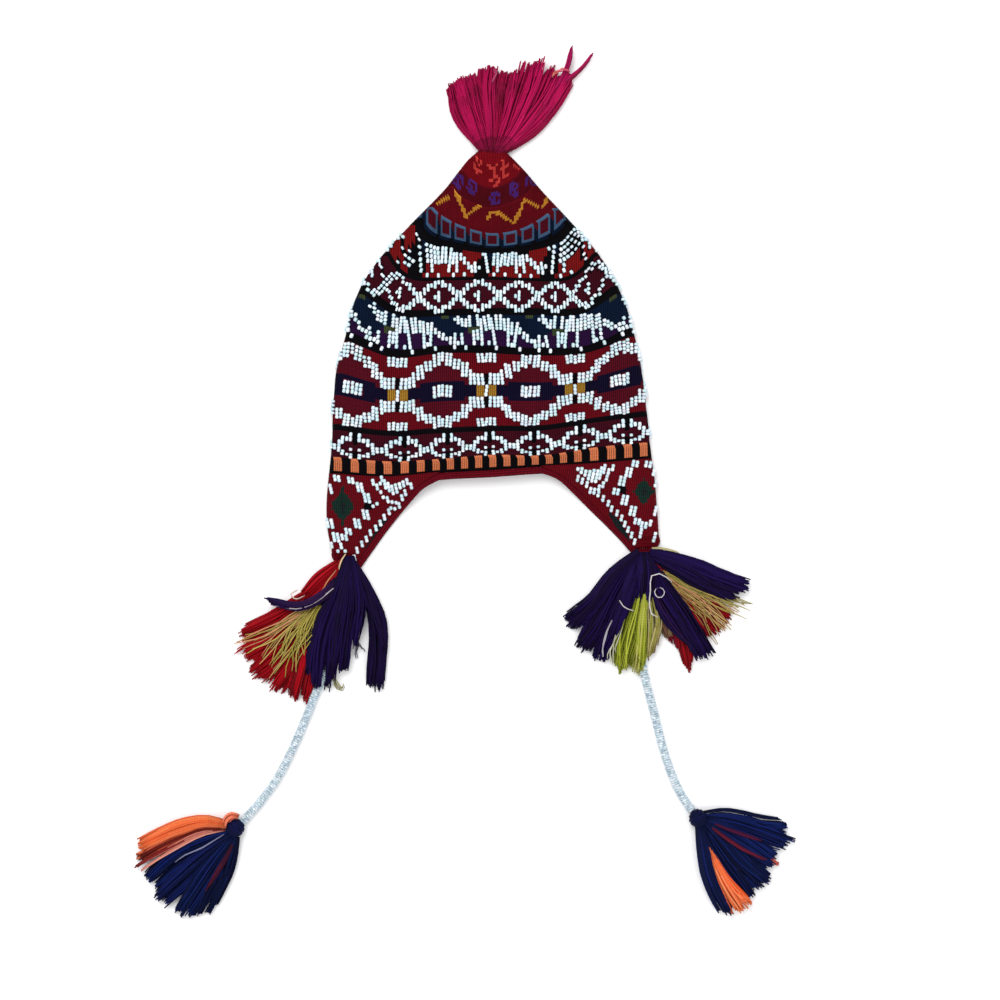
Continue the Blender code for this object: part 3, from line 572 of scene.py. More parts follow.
# Charts of the knitted bands, from the rim up. A chart reads from its top row down, x is a bead on
# the yarn that "under" names, and marks are columns with the place in the photograph where they lie.
# Strokes are drawn over a band: letter, width and places in the photograph.
stepped = (
    "xxxccccccxxxxxccccccxx", "xxxccccccxxxxxccccccxx", "xxxccccxxxxxxxxxccccxx", "cccccxxxxxxixxxxxxcccc",
    "cccccxxxxiiiiixxxxcccc", "ccccxxxiiiiiiiiixxxccc", "kxxxxxxiiiiiiiiixxxxxx", "kxxxxiiiiiiiiiiiiixxxx",
    "kxxxxidddddddddddixxxx",
)
flowers = spots("458,181 472,188 495,199 514,190 531,182")
petals = ((0.3, 1.0, 1.5), (1.9, 2.6, 3.0), (3.4, 4.1, 4.5), (5.0, 5.6, 6.0))
bands = [
    {"name": "squares", "pitch": 4.07, "under": "k",
     "chart": ("kssk", "kssk", "kssk", "kssk", "kkkk"),
     "marks": [(2 + 4 * (i - 10), x) for i, x in enumerate(
         (337.5, 355, 371, 388, 405, 421, 436.5, 450.6, 464.7, 478.8, 492.9, 507, 521.1, 535.2, 549.3,
          563.4, 577.5, 594, 611.5, 628.5, 644))]},
    {"name": "lower diamonds", "pitch": 4.05, "under": "k", "bead": 1.1,
     "chart": ("kkkkkkkkkkk", "mmmmxkxmmmm", "mmxxxkxxxmm", "mxxmmkmmxxm", "xxmmmmmmmxx", "xxmmxmxmmxx",
               "mxxmmkmmxxm", "mmxxxkxxxmm", "mmmmxkxmmmm"),
     "marks": [(5.5 + 11 * (i - 3), x) for i, x in enumerate((355, 405, 448, 489.5, 534, 580, 627))]},
    {"name": "stepped diamonds", "pitch": 4.02, "under": "c",
     "chart": ("k" * 22,) + stepped + ("xGGddddddxxxxxddddddGG",) * 3 + stepped[::-1],
     "marks": [(-32.5, 353), (-10.5, 443), (11.5, 530), (33.5, 619.5)]},
    {"name": "lower animals", "pitch": 3.82, "under": "n",
     "chart": ("kkkkkkkkkkkkkkkkkkkkkk",
               "xnxxnxxnnnnnnoonnxnnxn", "xxxxxxxxxnnnnnnnxxxxxn", "xxxxxxxxxxxnnnnnnxxxxn",
               "xxxxxxxxxxxnnnnnnnxxxn", "oxxxxxxxxxxxnnnnnnnnoo", "xxppxpppxxxxxnnnnnnpox",
               "xxppxpppxpxpxxnnxnxppx", "xxppxpppxpxppxxxxpxppx", "pxpxxpppxxxppppxxxxppx",
               "kkkkkxkkkkkxkkkkxkkxkk"),
     "marks": [(-43.5, 309.7), (-21.5, 393.7), (0.5, 477.7), (22.5, 561.7), (44.5, 645.7)]},
    {"name": "upper diamonds", "pitch": 3.64, "under": "k", "bead": 1.15,
     "chart": ("kkkkkkkkkkk", "mmmmxxxmmmm", "mmxxxmxxxmm", "mxxmmmmmxxm", "xxmmmxmmmxx", "xmmmxxmmmmx",
               "xxmmmxmmmxx", "mxxmmmmmxxm", "mmxxxmxxxmm", "kkkkxxxkkkk"),
     "marks": [(5.5 + 11 * (i - 3), x) for i, x in enumerate((372, 400, 439, 479, 519, 555, 588))]},
    {"name": "upper animals", "pitch": 3.67, "under": "k",
     "chart": ("kkkkkkkkkkkkkkkkkk",
               "xxnxxxxxxxkkkrrrrr", "kxnxxxxxxxxxxrrrrr", "kxkxxxxxxxxxxxrrrk", "kxkxxxxxxxxxrxxrxk",
               "kxkrxrrrrxrxrrxxxx", "kxkrxrrrrxrxrrrxxk", "kkrxrrxrrrxrrxrrkk"),
     "marks": [(-35.5, 351), (-17.5, 417), (0.5, 483), (18.5, 549), (36.5, 615)]},
    {"name": "open squares", "pitch": 2.2, "under": "k",
     "chart": ("fbbbbbbf", "fbiiiibf", "fbiiiibn", "nbiiiibn", "nbiiiibn", "nbbbbbbn", "nnnnnnkk",
               "kkkkkkkk"),
     "marks": [(4 + 8 * (i - 4), x) for i, x in enumerate(
         (432.4, 445.8, 460, 476, 492, 510.7, 528, 544.4, 560))]},
    {"name": "zigzag", "pitch": 2.3, "under": "c", "chart": ("cccc",) * 12, "marks": [(0, 491), (4, 500.2)],
     "strokes": (
         ("g", 3.2, spots("437,203 445,198 452,194 457,195 460,203 466,217 472,212 478,208 484,206")),
         ("g", 3.2, spots("488,219 491,213 499,214 505,218 513,224 518,216 521,209 524,201 530,203 537,206 "
                          "543,207 548,198")))},
    {"name": "flowers", "pitch": 2.3, "under": "f", "chart": ("ffff",) * 9, "marks": [(0, 491), (4, 500.2)],
     "strokes": tuple(("v", 2.7, tuple((x + 4.2 * math.cos(a), y + 6.2 * math.sin(a)) for a in turns))
                      for x, y in flowers for turns in petals)
                + tuple(("v", 2.8, ((x, y - 2), (x, y + 2))) for x, y in flowers)},
    {"name": "hooks", "pitch": 2.2, "under": "t", "chart": ("tttt",) * 9, "marks": [(0, 491), (4, 500.2)],
     "strokes": (
         ("h", 2.6, spots("483,158 477,159 474,165 477,172 482,171")), ("h", 2.4, spots("482,162 479,166")),
         ("h", 2.6, spots("488,166 493,169 497,165")), ("h", 2.6, spots("493,169 496,176 491,181")),
         ("h", 2.6, spots("496,176 500,182 495,186")), ("h", 2.6, spots("504,162 502,169 504,177 509,174")),
         ("h", 2.4, spots("502,169 508,165")), ("h", 2.6, spots("513,165 518,169")),
         ("h", 2.2, spots("487,158 484,156")))},
    {"name": "plain top", "pitch": 3.2, "under": "t", "chart": ("tttt", "tttt", "tttt", "tttt"),
     "marks": [(0, 491), (4, 504)]},
]


# The letter of the stroke that each place lies under, or an empty one
def drawn(strokes, places):
    at = places[:, :2] / view["pixel"] * (1, -1) + (view["originX"], view["originY"])
    letters = np.full(len(at), "", dtype="<U1")
    for letter, width, line in strokes:
        for start, end in zip(np.array(line[:-1]), np.array(line[1:])):
            run = end - start
            share = np.clip((at - start) @ run / (run @ run), 0, 1)
            near = np.linalg.norm(at - start - share[:, None] * run, axis=1) < width / 2
            letters[near & (places[:, 2] > hat["fold"])] = letter
    return letters


for place, band in enumerate(bands):
    band["step"] = band["pitch"] * view["pixel"]
    marks = np.array(sorted(band["marks"]), float)
    marks[:, 1] = (marks[:, 1] - view["originX"]) * view["pixel"]
    beyond = np.array([[200, 200 * band["step"]]])
    band["line"] = np.concatenate([marks[:1] - beyond, marks, marks[-1:] + beyond])
    ring = makeRing(place + 0.5)
    width = len(band["chart"][0])
    band["around"] = width * max(1, round(ring["girth"] / (band["step"] * width)))


# Distance round the hat of a band's columns, which are spaced out evenly on the back
def placeOf(band, ring, columns):
    line = band["line"]
    first = np.interp(ring["from"], line[:, 1], line[:, 0])
    last = np.interp(ring["to"], line[:, 1], line[:, 0])
    wrapped = first + (np.asarray(columns, float) - first) % band["around"]
    share = (wrapped - last) / (first + band["around"] - last)
    behind = ring["to"] + share * (ring["girth"] - (ring["to"] - ring["from"]))
    t = np.where(wrapped <= last, np.interp(wrapped, line[:, 0], line[:, 1]), behind)
    return np.where(t > ring["last"], t - ring["girth"], t)


def nextShare(shares, i):
    count = len(shares)
    return shares[i + 1] if i + 1 < count else 1 + shares[(i + 1) % count] + (i >= count)


# Triangles between two rings of different counts, each ring as (start, indices, shares)
def zipRings(low, high):
    (startA, orderA, shareA), (startB, orderB, shareB) = low, high
    faces, spans = [], []
    i = j = 0
    while i < len(orderA) or j < len(orderB):
        a, b = orderA[i % len(orderA)], orderB[j % len(orderB)]
        if j >= len(orderB) or (i < len(orderA) and nextShare(shareA, i) <= nextShare(shareB, j)):
            faces.append((startA + a, startA + orderA[(i + 1) % len(orderA)], startB + b))
            i += 1
        else:
            faces.append((startA + a, startB + orderB[(j + 1) % len(orderB)], startB + b))
            j += 1
        spans.append(a)
    return faces, spans


print("crown")
knit = {
    "groove": 0.00045, "innerRings": 44, "innerPoints": 132, "innerTop": 0.15, "probe": 0.0004, "seed": 7,
    "lean": 0.00030, "leanWave": 0.47, "leanNoise": 0.00016, "shiftNoise": 0.00014, "riseNoise": 0.00035,
    "column": 0.0032, "row": 0.0028, "bead": 1.02,
}


def ringRecord(start, t, ring):
    order = np.argsort(t)
    return start, order.tolist(), ((t[order] + (ring["girth"] - ring["last"])) / ring["girth"]).tolist()


# How many beads of the same bar hang below a bead
def barBelow(chart, row, column):
    count = 0
    while row + count + 1 < len(chart) and chart[row + count + 1][column] == "x":
        count += 1
    return count


# Colours and UVs of the faces over one row of a band; spans are the half columns where they start
def stitchFaces(band, row, newFaces, spans, middles, v):
    line = band["chart"][len(band["chart"]) - 1 - row]
    strokes = drawn(band.get("strokes", ()), middles)
    colours, uvs = [], []
    for face, column in zip(newFaces, spans):
        letter = strokes[column // 2] or line[(column // 2) % len(line)]
        letter = band["under"] if letter == "x" else letter
        colours += [dyed[letter]] * len(face)
        u = column / 2
        top = [(u + 0.5, v + 1), (u, v + 1)] if len(face) == 4 else [(u + 0.25, v + 1)]
        uvs += [(u, v), (u + 0.5, v)] + top
    return colours, uvs


# Beads of one row of a band: centres, hole axes, normals, widths, lengths and the band's place
def rowBeads(place, k, band, lean, shift, rise):
    rows, width = len(band["chart"]), len(band["chart"][0])
    line = band["chart"][rows - 1 - k]
    whole = np.array([c for c in range(band["around"]) if line[c % width] == "x"], int)
    if not len(whole):
        return []
    below = np.array([barBelow(band["chart"], rows - 1 - k, c) for c in range(width)])
    above = np.array([barBelow(band["chart"][::-1], k, c) for c in range(width)])
    middle = makeRing(place + (k + 0.5) / rows)
    at = placeOf(band, middle, whole + 0.5)
    at = at + (shift[whole] + lean[whole] * (below - above)[whole % width] / 2)
    step = np.abs(placeOf(band, middle, whole + 0.75) - placeOf(band, middle, whole + 0.25)) * 2
    step = np.where(step > 2 * band["step"], band["step"], step)
    centre, normal = ringPoints(middle, at)
    across = ringPoints(middle, at + knit["probe"])[0] - ringPoints(middle, at - knit["probe"])[0]
    station = np.clip(centre[:, 0] / np.where(centre[:, 0] < 0, middle["left"], middle["right"]), -1, 1)
    tall = rowY(place + (k + 1) / rows, station) - rowY(place + k / rows, station)
    upward = unit(np.cross(normal, across))
    slope = np.clip(np.abs(across)[:, 0] / np.linalg.norm(across, axis=1), 0.3, 1)
    slope = np.where(normal[:, 2] > 0.5, slope, 1.0)
    centre = centre + upward * rise[whole][:, None]
    return [(centre, upward, normal, step / slope, tall * slope * band.get("bead", knit["bead"]),
             np.full(len(whole), place))]


def makeCrown():
    verts, faces, colours, uvs, beads = [], [], [], [], []
    count = 0
    waiting = None
    chance = np.random.default_rng(knit["seed"])
    for place, band in enumerate(bands):
        rows, around = len(band["chart"]), band["around"]
        halves = np.arange(2 * around) / 2
        lean = knit["lean"] * np.sin(np.arange(around) * knit["leanWave"] + place)
        lean = lean + chance.normal(0, knit["leanNoise"], around)
        shift = chance.normal(0, knit["shiftNoise"], around)
        rise = chance.normal(0, knit["riseNoise"], around)
        for k in range(rows):
            ring = makeRing(place + k / rows)
            t = placeOf(band, ring, halves)
            points, normals = ringPoints(ring, t)
            sunk = np.where(np.arange(len(t)) % 2 == 0, knit["groove"], 0.0)
            points = points - normals * sunk[:, None]
            points[:, 2] = np.maximum(points[:, 2], hat["backLift"])
            record = ringRecord(count, t, ring)
            if waiting is not None:
                lowRecord, lowBand, lowRow, isZip = waiting
                middles = verts[-1][1::2]
                if isZip:
                    newFaces, spans = zipRings(lowRecord, record)
                else:
                    size, low = 2 * around, lowRecord[0]
                    newFaces = [(low + i, low + (i + 1) % size, count + (i + 1) % size, count + i)
                                for i in range(size)]
                    spans = range(size)
                    middles = (middles + points[1::2]) / 2
                newColours, newUvs = stitchFaces(lowBand, lowRow, newFaces, spans, middles, len(verts) - 1)
                faces += newFaces
                colours += newColours
                uvs += newUvs
            verts.append(points)
            count += len(points)
            waiting = (record, band, k, k == rows - 1)
            beads += rowBeads(place, k, band, lean, shift, rise)
    ring = makeRing(float(len(bands)))
    t = placeOf(bands[-1], ring, np.arange(2 * bands[-1]["around"]) / 2)
    points, normals = ringPoints(ring, t)
    faces += zipRings(waiting[0], ringRecord(count, t, ring))[0]
    topRing = [count + i for i in np.argsort(t)]
    verts += [points, points.mean(axis=0)[None]]
    count += len(points)
    faces += [(a, b, count) for a, b in zip(topRing, topRing[1:] + topRing[:1])]
    count += 1
    for k in range(knit["innerRings"] + 1):
        ring = makeRing(k / knit["innerRings"] * (len(bands) - knit["innerTop"]))
        t = np.linspace(ring["last"] - ring["girth"], ring["last"], knit["innerPoints"], endpoint=False)
        points, normals = ringPoints(ring, t)
        verts.append(points - normals * hat["wall"])
        size = len(points)
        if k == 0:
            start = placeOf(bands[0], ring, np.arange(2 * bands[0]["around"]) / 2)
            lip = zipRings(ringRecord(0, start, ring), ringRecord(count, t, ring))[0]
            faces += [face[::-1] for face in lip]
        else:
            below = count - size
            faces += [(count + i, count + (i + 1) % size, below + (i + 1) % size, below + i)
                      for i in range(size)]
        count += size
    verts.append((points - normals * hat["wall"]).mean(axis=0)[None])
    faces += [(count, count - size + (i + 1) % size, count - size + i) for i in range(size)]
    loops = [i for face in faces for i in face]
    colours += [dyed["f"]] * (len(loops) - len(colours))
    everything = np.concatenate(verts)
    spot = everything[loops[len(uvs):]]
    uvs += np.stack([spot[:, 0] / knit["column"], spot[:, 1] / knit["row"]], -1).tolist()
    crown = makePiece("crown_knit", everything, faces, colours, uvs, knitWool)
    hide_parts("crown")
    return [np.concatenate(part) for part in zip(*beads)]


dyed = {letter: linear(colour) for letter, colour in dye.items()}
beadCentres, beadAxes, beadNormals, beadSteps, beadTall, beadBands = makeCrown()

print("beads on the crown")
beadSizes = {
    "wide": 0.92, "widest": 0.0036, "shortest": 0.0019, "longest": 0.0036, "sunk": 0.0008, "noise": 0.05,
    "lowBands": 2, "backFrom": -0.3,
    "tints": ("#d2e4ec", "#c6dce6", "#bcd6e0", "#cddae6", "#dfeaf0", "#c2dcde", "#d6dce4"),
}


def crownBeads(name, picked, shape, seed):
    chance = np.random.default_rng(seed)
    count = int(picked.sum())
    wide = np.minimum(beadSteps[picked] * beadSizes["wide"], beadSizes["widest"])
    wide = wide * chance.uniform(0.94, 1.04, count)
    long = np.clip(beadTall[picked], beadSizes["shortest"], beadSizes["longest"])
    long = long * chance.uniform(0.97, 1.03, count)
    normals = beadNormals[picked]
    centres = beadCentres[picked] + normals * (wide / 2 - beadSizes["sunk"])[:, None]
    centres[:, 2] = np.maximum(centres[:, 2], wide / 2)
    axes = beadAxes[picked] + chance.normal(0, beadSizes["noise"], normals.shape)
    beadPiece(name, shape, centres, axes, normals, long, wide, beadSizes["tints"], chance)


facing = beadNormals[:, 2] > beadSizes["backFrom"]
lowBands = beadBands <= beadSizes["lowBands"]
crownBeads("beads_lower", facing & lowBands, roundBead, 11)
crownBeads("beads_upper", facing & ~lowBands, roundBead, 12)
crownBeads("beads_back", ~facing, plainBead, 13)

print("ear flaps")
flapLook = {
    "columns": 84, "rows": 50, "stitch": 0.0032, "row": 0.0028, "under": 0.0010, "tuck": 0.012,
    "wall": 0.0028, "frontFrom": -0.001, "tries": 12, "guess": 0.3, "length": 0.075, "probe": 0.0006,
    "greenStep": (2.4, 3.0), "greenEdge": 0.35, "beadStep": (3.9, 3.3), "drift": 0.7, "beadLong": 0.0029,
    "beadWide": 0.0030, "beadLift": 0.0006, "beadNoise": 0.06, "beadLean": 0.2, "seed": 51,
    "left": {
        "green": (342.5, 506, 12, 18.5),
        "patch": spots("384,516 390,521 374,549 361,561 365,548"),
        "beads": spots(
            "337,478,2,2 351,480,2,2 360,487,2,3 367,497.5,2,3 373,506,1,1 377,503.5,1,1 365.5,514,2,3 "
            "357,523,2,3 348,531,2,2 344,537,2,2 336,537,2,3 341,546,1,2 345,551,1,1 331,489,1,3 "
            "330,523,2,3 332,545,1,2 338,551,1,1 373.3,482.3,1,2 377.3,487,1,2 381,492,1,1 385.3,497,2,1 "
            "390,501,2,1 399,505,1,2 382,479,1,2 380.5,483.5,1,1 385.3,484.3,1,3 388.9,487,1,3 "
            "392.6,489.7,1,3 396.4,488.3,1,3 400,485.7,1,2 403.6,483.7,1,2 407.4,481.6,1,2 "
            "411.3,485.7,1,2 405.3,492.3,1,2 402,497.3,1,2 396,502.3,1,1 392.7,507.7,2,1 388.7,511.5,1,2 "
            "384,517,1,2 380,523,1,2 375.5,528,1,2 370,532.7,1,2 366,539,1,2 361.5,544,1,2 "
            "356.7,550.3,1,2 354,558,1,2"),
        # dark: a small box painted black as the shadow beside the beads
        "dark": (368, 505, 4, 5),
    },
    "right": {
        "green": (644, 491.5, 10, 15),
        "patch": spots("608,511 614,515 622,523 628,535 631,545 625,541 618,530 611,518"),
        "beads": spots(
            "635,463.4,2,2 648,464,2,2 653.5,471,1,3 628.5,472,2,3 622,480.6,2,3 616,491,2,2 "
            "624.8,499.5,2,3 633,510.5,2,3 637.5,521,2,2 644,524.6,2,2 641,533,1,3 650.5,523,1,2 "
            "655,511,1,3 654.5,537,1,3 655,484,1,2 577.7,469,1,1 581.4,470.5,1,2 585.2,473,1,2 "
            "589,475,1,3 592.8,475.5,1,4 596.6,476,1,4 600.4,473,1,4 604,469,1,3 608.3,471.5,1,2 "
            "612.6,467.7,1,2 606.5,478,1,2 603,484.4,1,2 599,487.5,1,2 577.7,478,1,2 582.2,480.6,1,2 "
            "586.9,484,1,2 592.5,490,2,2 598.5,493.5,1,2 603.4,498,1,2 608.6,503,1,2 612,508.5,1,2 "
            "617.5,512.8,1,2 622,517.8,1,2 625.2,524,1,2 628.5,529.5,1,2 632,535,1,2 635,541.5,1,2"),
        "dark": (622, 489, 4, 5),
    },
}


def inside(x, y, corners):
    odd = False
    for (x0, y0), (x1, y1) in zip(corners, corners[1:] + corners[:1]):
        if (y0 > y) != (y1 > y) and x < x0 + (x1 - x0) * (y - y0) / (y1 - y0):
            odd = not odd
    return odd


def flapLetter(look, spot, front):
    x, y = spot[0] / view["pixel"] + view["originX"], view["originY"] - spot[1] / view["pixel"]
    if not front:
        return "c"
    centreX, centreY, halfX, halfY = look["green"]
    wideStep, highStep = flapLook["greenStep"]
    away = abs(round((x - centreX) / wideStep)) * wideStep / halfX
    away += abs(round((y - centreY) / highStep)) * highStep / halfY
    if away < 1.0:
        return "e" if away > flapLook["greenEdge"] else "y"
    # painted shadow: black in the small dark box beside the beads
    darkX, darkY, wide, high = look["dark"]
    if abs(x - darkX) < wide and abs(y - darkY) < high:
        return "k"
    return "y" if inside(x, y, look["patch"]) else "c"


def makeFlap(side, name):
    look = flapLook[name]
    rows, columns = flapLook["rows"], flapLook["columns"]
    points, spread = [], []
    for i in range(rows + 1):
        down = i / rows
        reach = float(flapHalf(down)) + flapLook["under"]
        along = flapInset(side) + np.linspace(-1, 1, columns + 1) * reach
        points.append(flapPoint(side, along, down if i else -flapLook["tuck"]))
        spread.append(along)
    points = np.array(points)
    faces, colours, uvs = [], [], []
    for i in range(rows):
        for j in range(columns):
            corners = [(i, j), (i + 1, j), (i + 1, j + 1), (i, j + 1)]
            if side > 0:
                corners = corners[::-1]
            faces.append(tuple(a * (columns + 1) + b for a, b in corners))
            spot = points[i:i + 2, j:j + 2].reshape(-1, 3).mean(axis=0)
            colours += [dyed[flapLetter(look, spot, spread[i][j] > flapLook["frontFrom"])]] * 4
            uvs += [(spread[a][b] / flapLook["stitch"], points[a, b, 1] / flapLook["row"])
                    for a, b in corners]
    points = points.reshape(-1, 3)
    piece = makePiece(f"flap_knit_{name}", points, faces, colours, uvs, knitWool)
    choose(piece)
    wall = piece.modifiers.new("wall", "SOLIDIFY")
    wall.thickness = flapLook["wall"]
    wall.offset = -1
    bpy.ops.object.modifier_apply(modifier="wall")
    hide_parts(f"ear_flap_{name}")


# Point, direction across and normal of a flap's front at a place in metres
def flapSpot(side, x, y):
    arc = hat["fold"] * pi
    fold = float(halfWidth(y, side)) - hat["fold"]
    past = abs(x) - fold
    along = arc / 2 - past if past < 0 else arc / 2 - hat["fold"] * math.asin(min(past / hat["fold"], 1.0))
    down, probe = flapLook["guess"], flapLook["probe"]
    for _ in range(flapLook["tries"]):
        down += (flapPoint(side, along, down)[0][1] - y) / flapLook["length"]
    spot = flapPoint(side, along, down)[0]
    across = flapPoint(side, along + probe, down)[0] - flapPoint(side, along - probe, down)[0]
    below = flapPoint(side, along, down + 0.01)[0] - flapPoint(side, along, down - 0.01)[0]
    normal = np.cross(across, below)
    normal *= 1 if normal[2] > 0 else -1
    return spot, unit(across), unit(normal)


def makeFlapBeads(side, name):
    chance = np.random.default_rng(flapLook["seed"] + side)
    stepX, stepY = flapLook["beadStep"]
    drift = flapLook["drift"]
    centres, axes, normals = [], [], []
    for x, y, wide, high in flapLook[name]["beads"]:
        for i in range(int(wide)):
            for j in range(int(high)):
                rowFrom = j - (high - 1) / 2
                at = pxPoint(x + (i - (wide - 1) / 2) * stepX - side * rowFrom * drift,
                             y + rowFrom * stepY + (i % 2) * drift)
                spot, across, normal = flapSpot(side, at.x, at.y)
                centres.append(spot + normal * flapLook["beadLift"])
                lean = across * side * flapLook["beadLean"]
                axes.append(np.cross(normal, across) + lean + chance.normal(0, flapLook["beadNoise"], 3))
                normals.append(normal)
    count = len(centres)
    beadPiece(f"beads_flap_{name}", roundBead, np.array(centres), np.array(axes), np.array(normals),
              flapLook["beadLong"] * chance.uniform(0.96, 1.05, count),
              flapLook["beadWide"] * chance.uniform(0.95, 1.04, count),
              beadSizes["tints"], chance)


for side, name in ((-1, "left"), (1, "right")):
    makeFlap(side, name)
    makeFlapBeads(side, name)

print("edging")
edging = {
    "steps": 44, "rimSteps": 46, "stitch": 0.0030, "probe": 0.001, "colour": "#600616",
    "section": ((0, -0.8), (0, 0.5), (0.12, 0.9), (0.28, 1.05), (0.43, 1.02), (0.55, 1.02), (0.72, 1.05),
                (0.88, 0.85), (1.0, 0.2), (0.98, -0.6), (0.8, -0.9), (0.3, -1.0)),
}


def edgeSection(pointAt, out, mitre):
    half = flap["wall"] / 2
    section = []
    for share, level in edging["section"]:
        point, normal = pointAt(out * (flap["edgingGap"] + flap["edging"] * share) * mitre)
        section.append(point + normal * (level * half - half))
    return section


def flapEdging(side):
    inset = flapInset(side)
    downs = np.linspace(0, 1, edging["steps"] + 1)
    halves = flapHalf(downs)
    drop = flap["drop"]
    path = [np.array((inset + half, down * drop)) for down, half in zip(downs, halves)]
    tip = float(flapHalf(1.0))
    path += [np.array((inset + tip * share, drop)) for share in (0.5, 0.0, -0.5)]
    path += [np.array((inset - half, down * drop)) for down, half in zip(downs[::-1], halves[::-1])]
    rim = np.array((flap["edging"], 0))
    path = [path[0] + rim] + path + [path[-1] - rim]
    step = edging["probe"]

    def pointAt(place, past):
        along, down = place[0] + past[0], (place[1] + past[1]) / drop
        around = flapPoint(side, [along, along + step, along - step, along, along],
                          [down, down, down, down + step, down - step])
        normal = np.cross(around[1] - around[2], around[3] - around[4]) * side
        return around[0], unit(normal)

    sections = []
    for before, here, after in zip(path, path[1:], path[2:]):
        come, leave = unit(here - before), unit(after - here)
        out = unit((come[1] + leave[1], -come[0] - leave[0]))
        mitre = min(1 / max(out.dot((come[1], -come[0])), 0.1), flap["mitre"])
        sections.append(edgeSection(lambda past: pointAt(here, past), out, mitre))
    return sections


def rimEdging(first, last, front):
    sections = []
    for station in np.linspace(first, last, edging["rimSteps"])[1:-1]:
        reach = float(halfWidth(-hat["origin"], 1 if station > 0 else -1)) - hat["fold"]
        y0 = float(rimY(np.array([station]), 16 if front else 8)[0])

        def pointAt(past):
            x, y = station * reach, y0 - past[1]
            if not front:
                return np.array((x, y, 0.0)), np.array((0, 0, -1.0))
            step = edging["probe"]
            z, zy = (float(frontZ(x, y + rise, station)) for rise in (0, step))
            zx = float(frontZ(x + step, y, (x + step) / reach))
            normal = np.array(((z - zx) / step, (z - zy) / step, 1.0))
            return np.array((x, y, z)), unit(normal)

        sections.append(edgeSection(pointAt, np.array((0, 1.0)), 1))
    return sections


def makeEdging():
    def station(side, along):
        wide = float(halfWidth(-hat["origin"], side)) - hat["fold"]
        return side * (1 - (abs(along) - hat["fold"] * pi / 2 + flap["edging"]) / wide)

    spans = {}
    for side in (-1, 1):
        inset, half = flapInset(side), float(flapHalf(0.0))
        spans[side] = (station(side, inset + half), station(side, half - inset))
    loops = rimEdging(spans[-1][0], spans[1][0], True)
    loops += flapEdging(1)
    loops += rimEdging(spans[1][1], spans[-1][1], False)
    loops += flapEdging(-1)[::-1]
    loops = np.array(loops)
    loops[:, :, 2] = np.maximum(loops[:, :, 2], 0.0)
    count, size = loops.shape[:2]
    centre = loops.mean(axis=1)
    run = np.concatenate([[0], np.cumsum(np.linalg.norm(np.diff(centre, axis=0), axis=1))]) / edging["stitch"]
    faces, uvs = [], []
    for i in range(count):
        j = (i + 1) % count
        end = run[j] if j else run[-1] + 1
        for s in range(size):
            r = (s + 1) % size
            faces.append((i * size + s, i * size + r, j * size + r, j * size + s))
            uvs += [(s / 5, run[i]), ((s + 1) / 5, run[i]), ((s + 1) / 5, end), (s / 5, end)]
    colours = [linear(edging["colour"])] * (4 * len(faces))
    piece = makePiece("rim_binding", loops.reshape(-1, 3), faces, colours, uvs, knitWool)
    choose(piece)
    bpy.ops.object.mode_set(mode="EDIT")
    bpy.ops.mesh.select_all(action="SELECT")
    bpy.ops.mesh.normals_make_consistent(inside=False)
    bpy.ops.object.mode_set(mode="OBJECT")
    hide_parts("rim_edging")


makeEdging()

print("tassels")
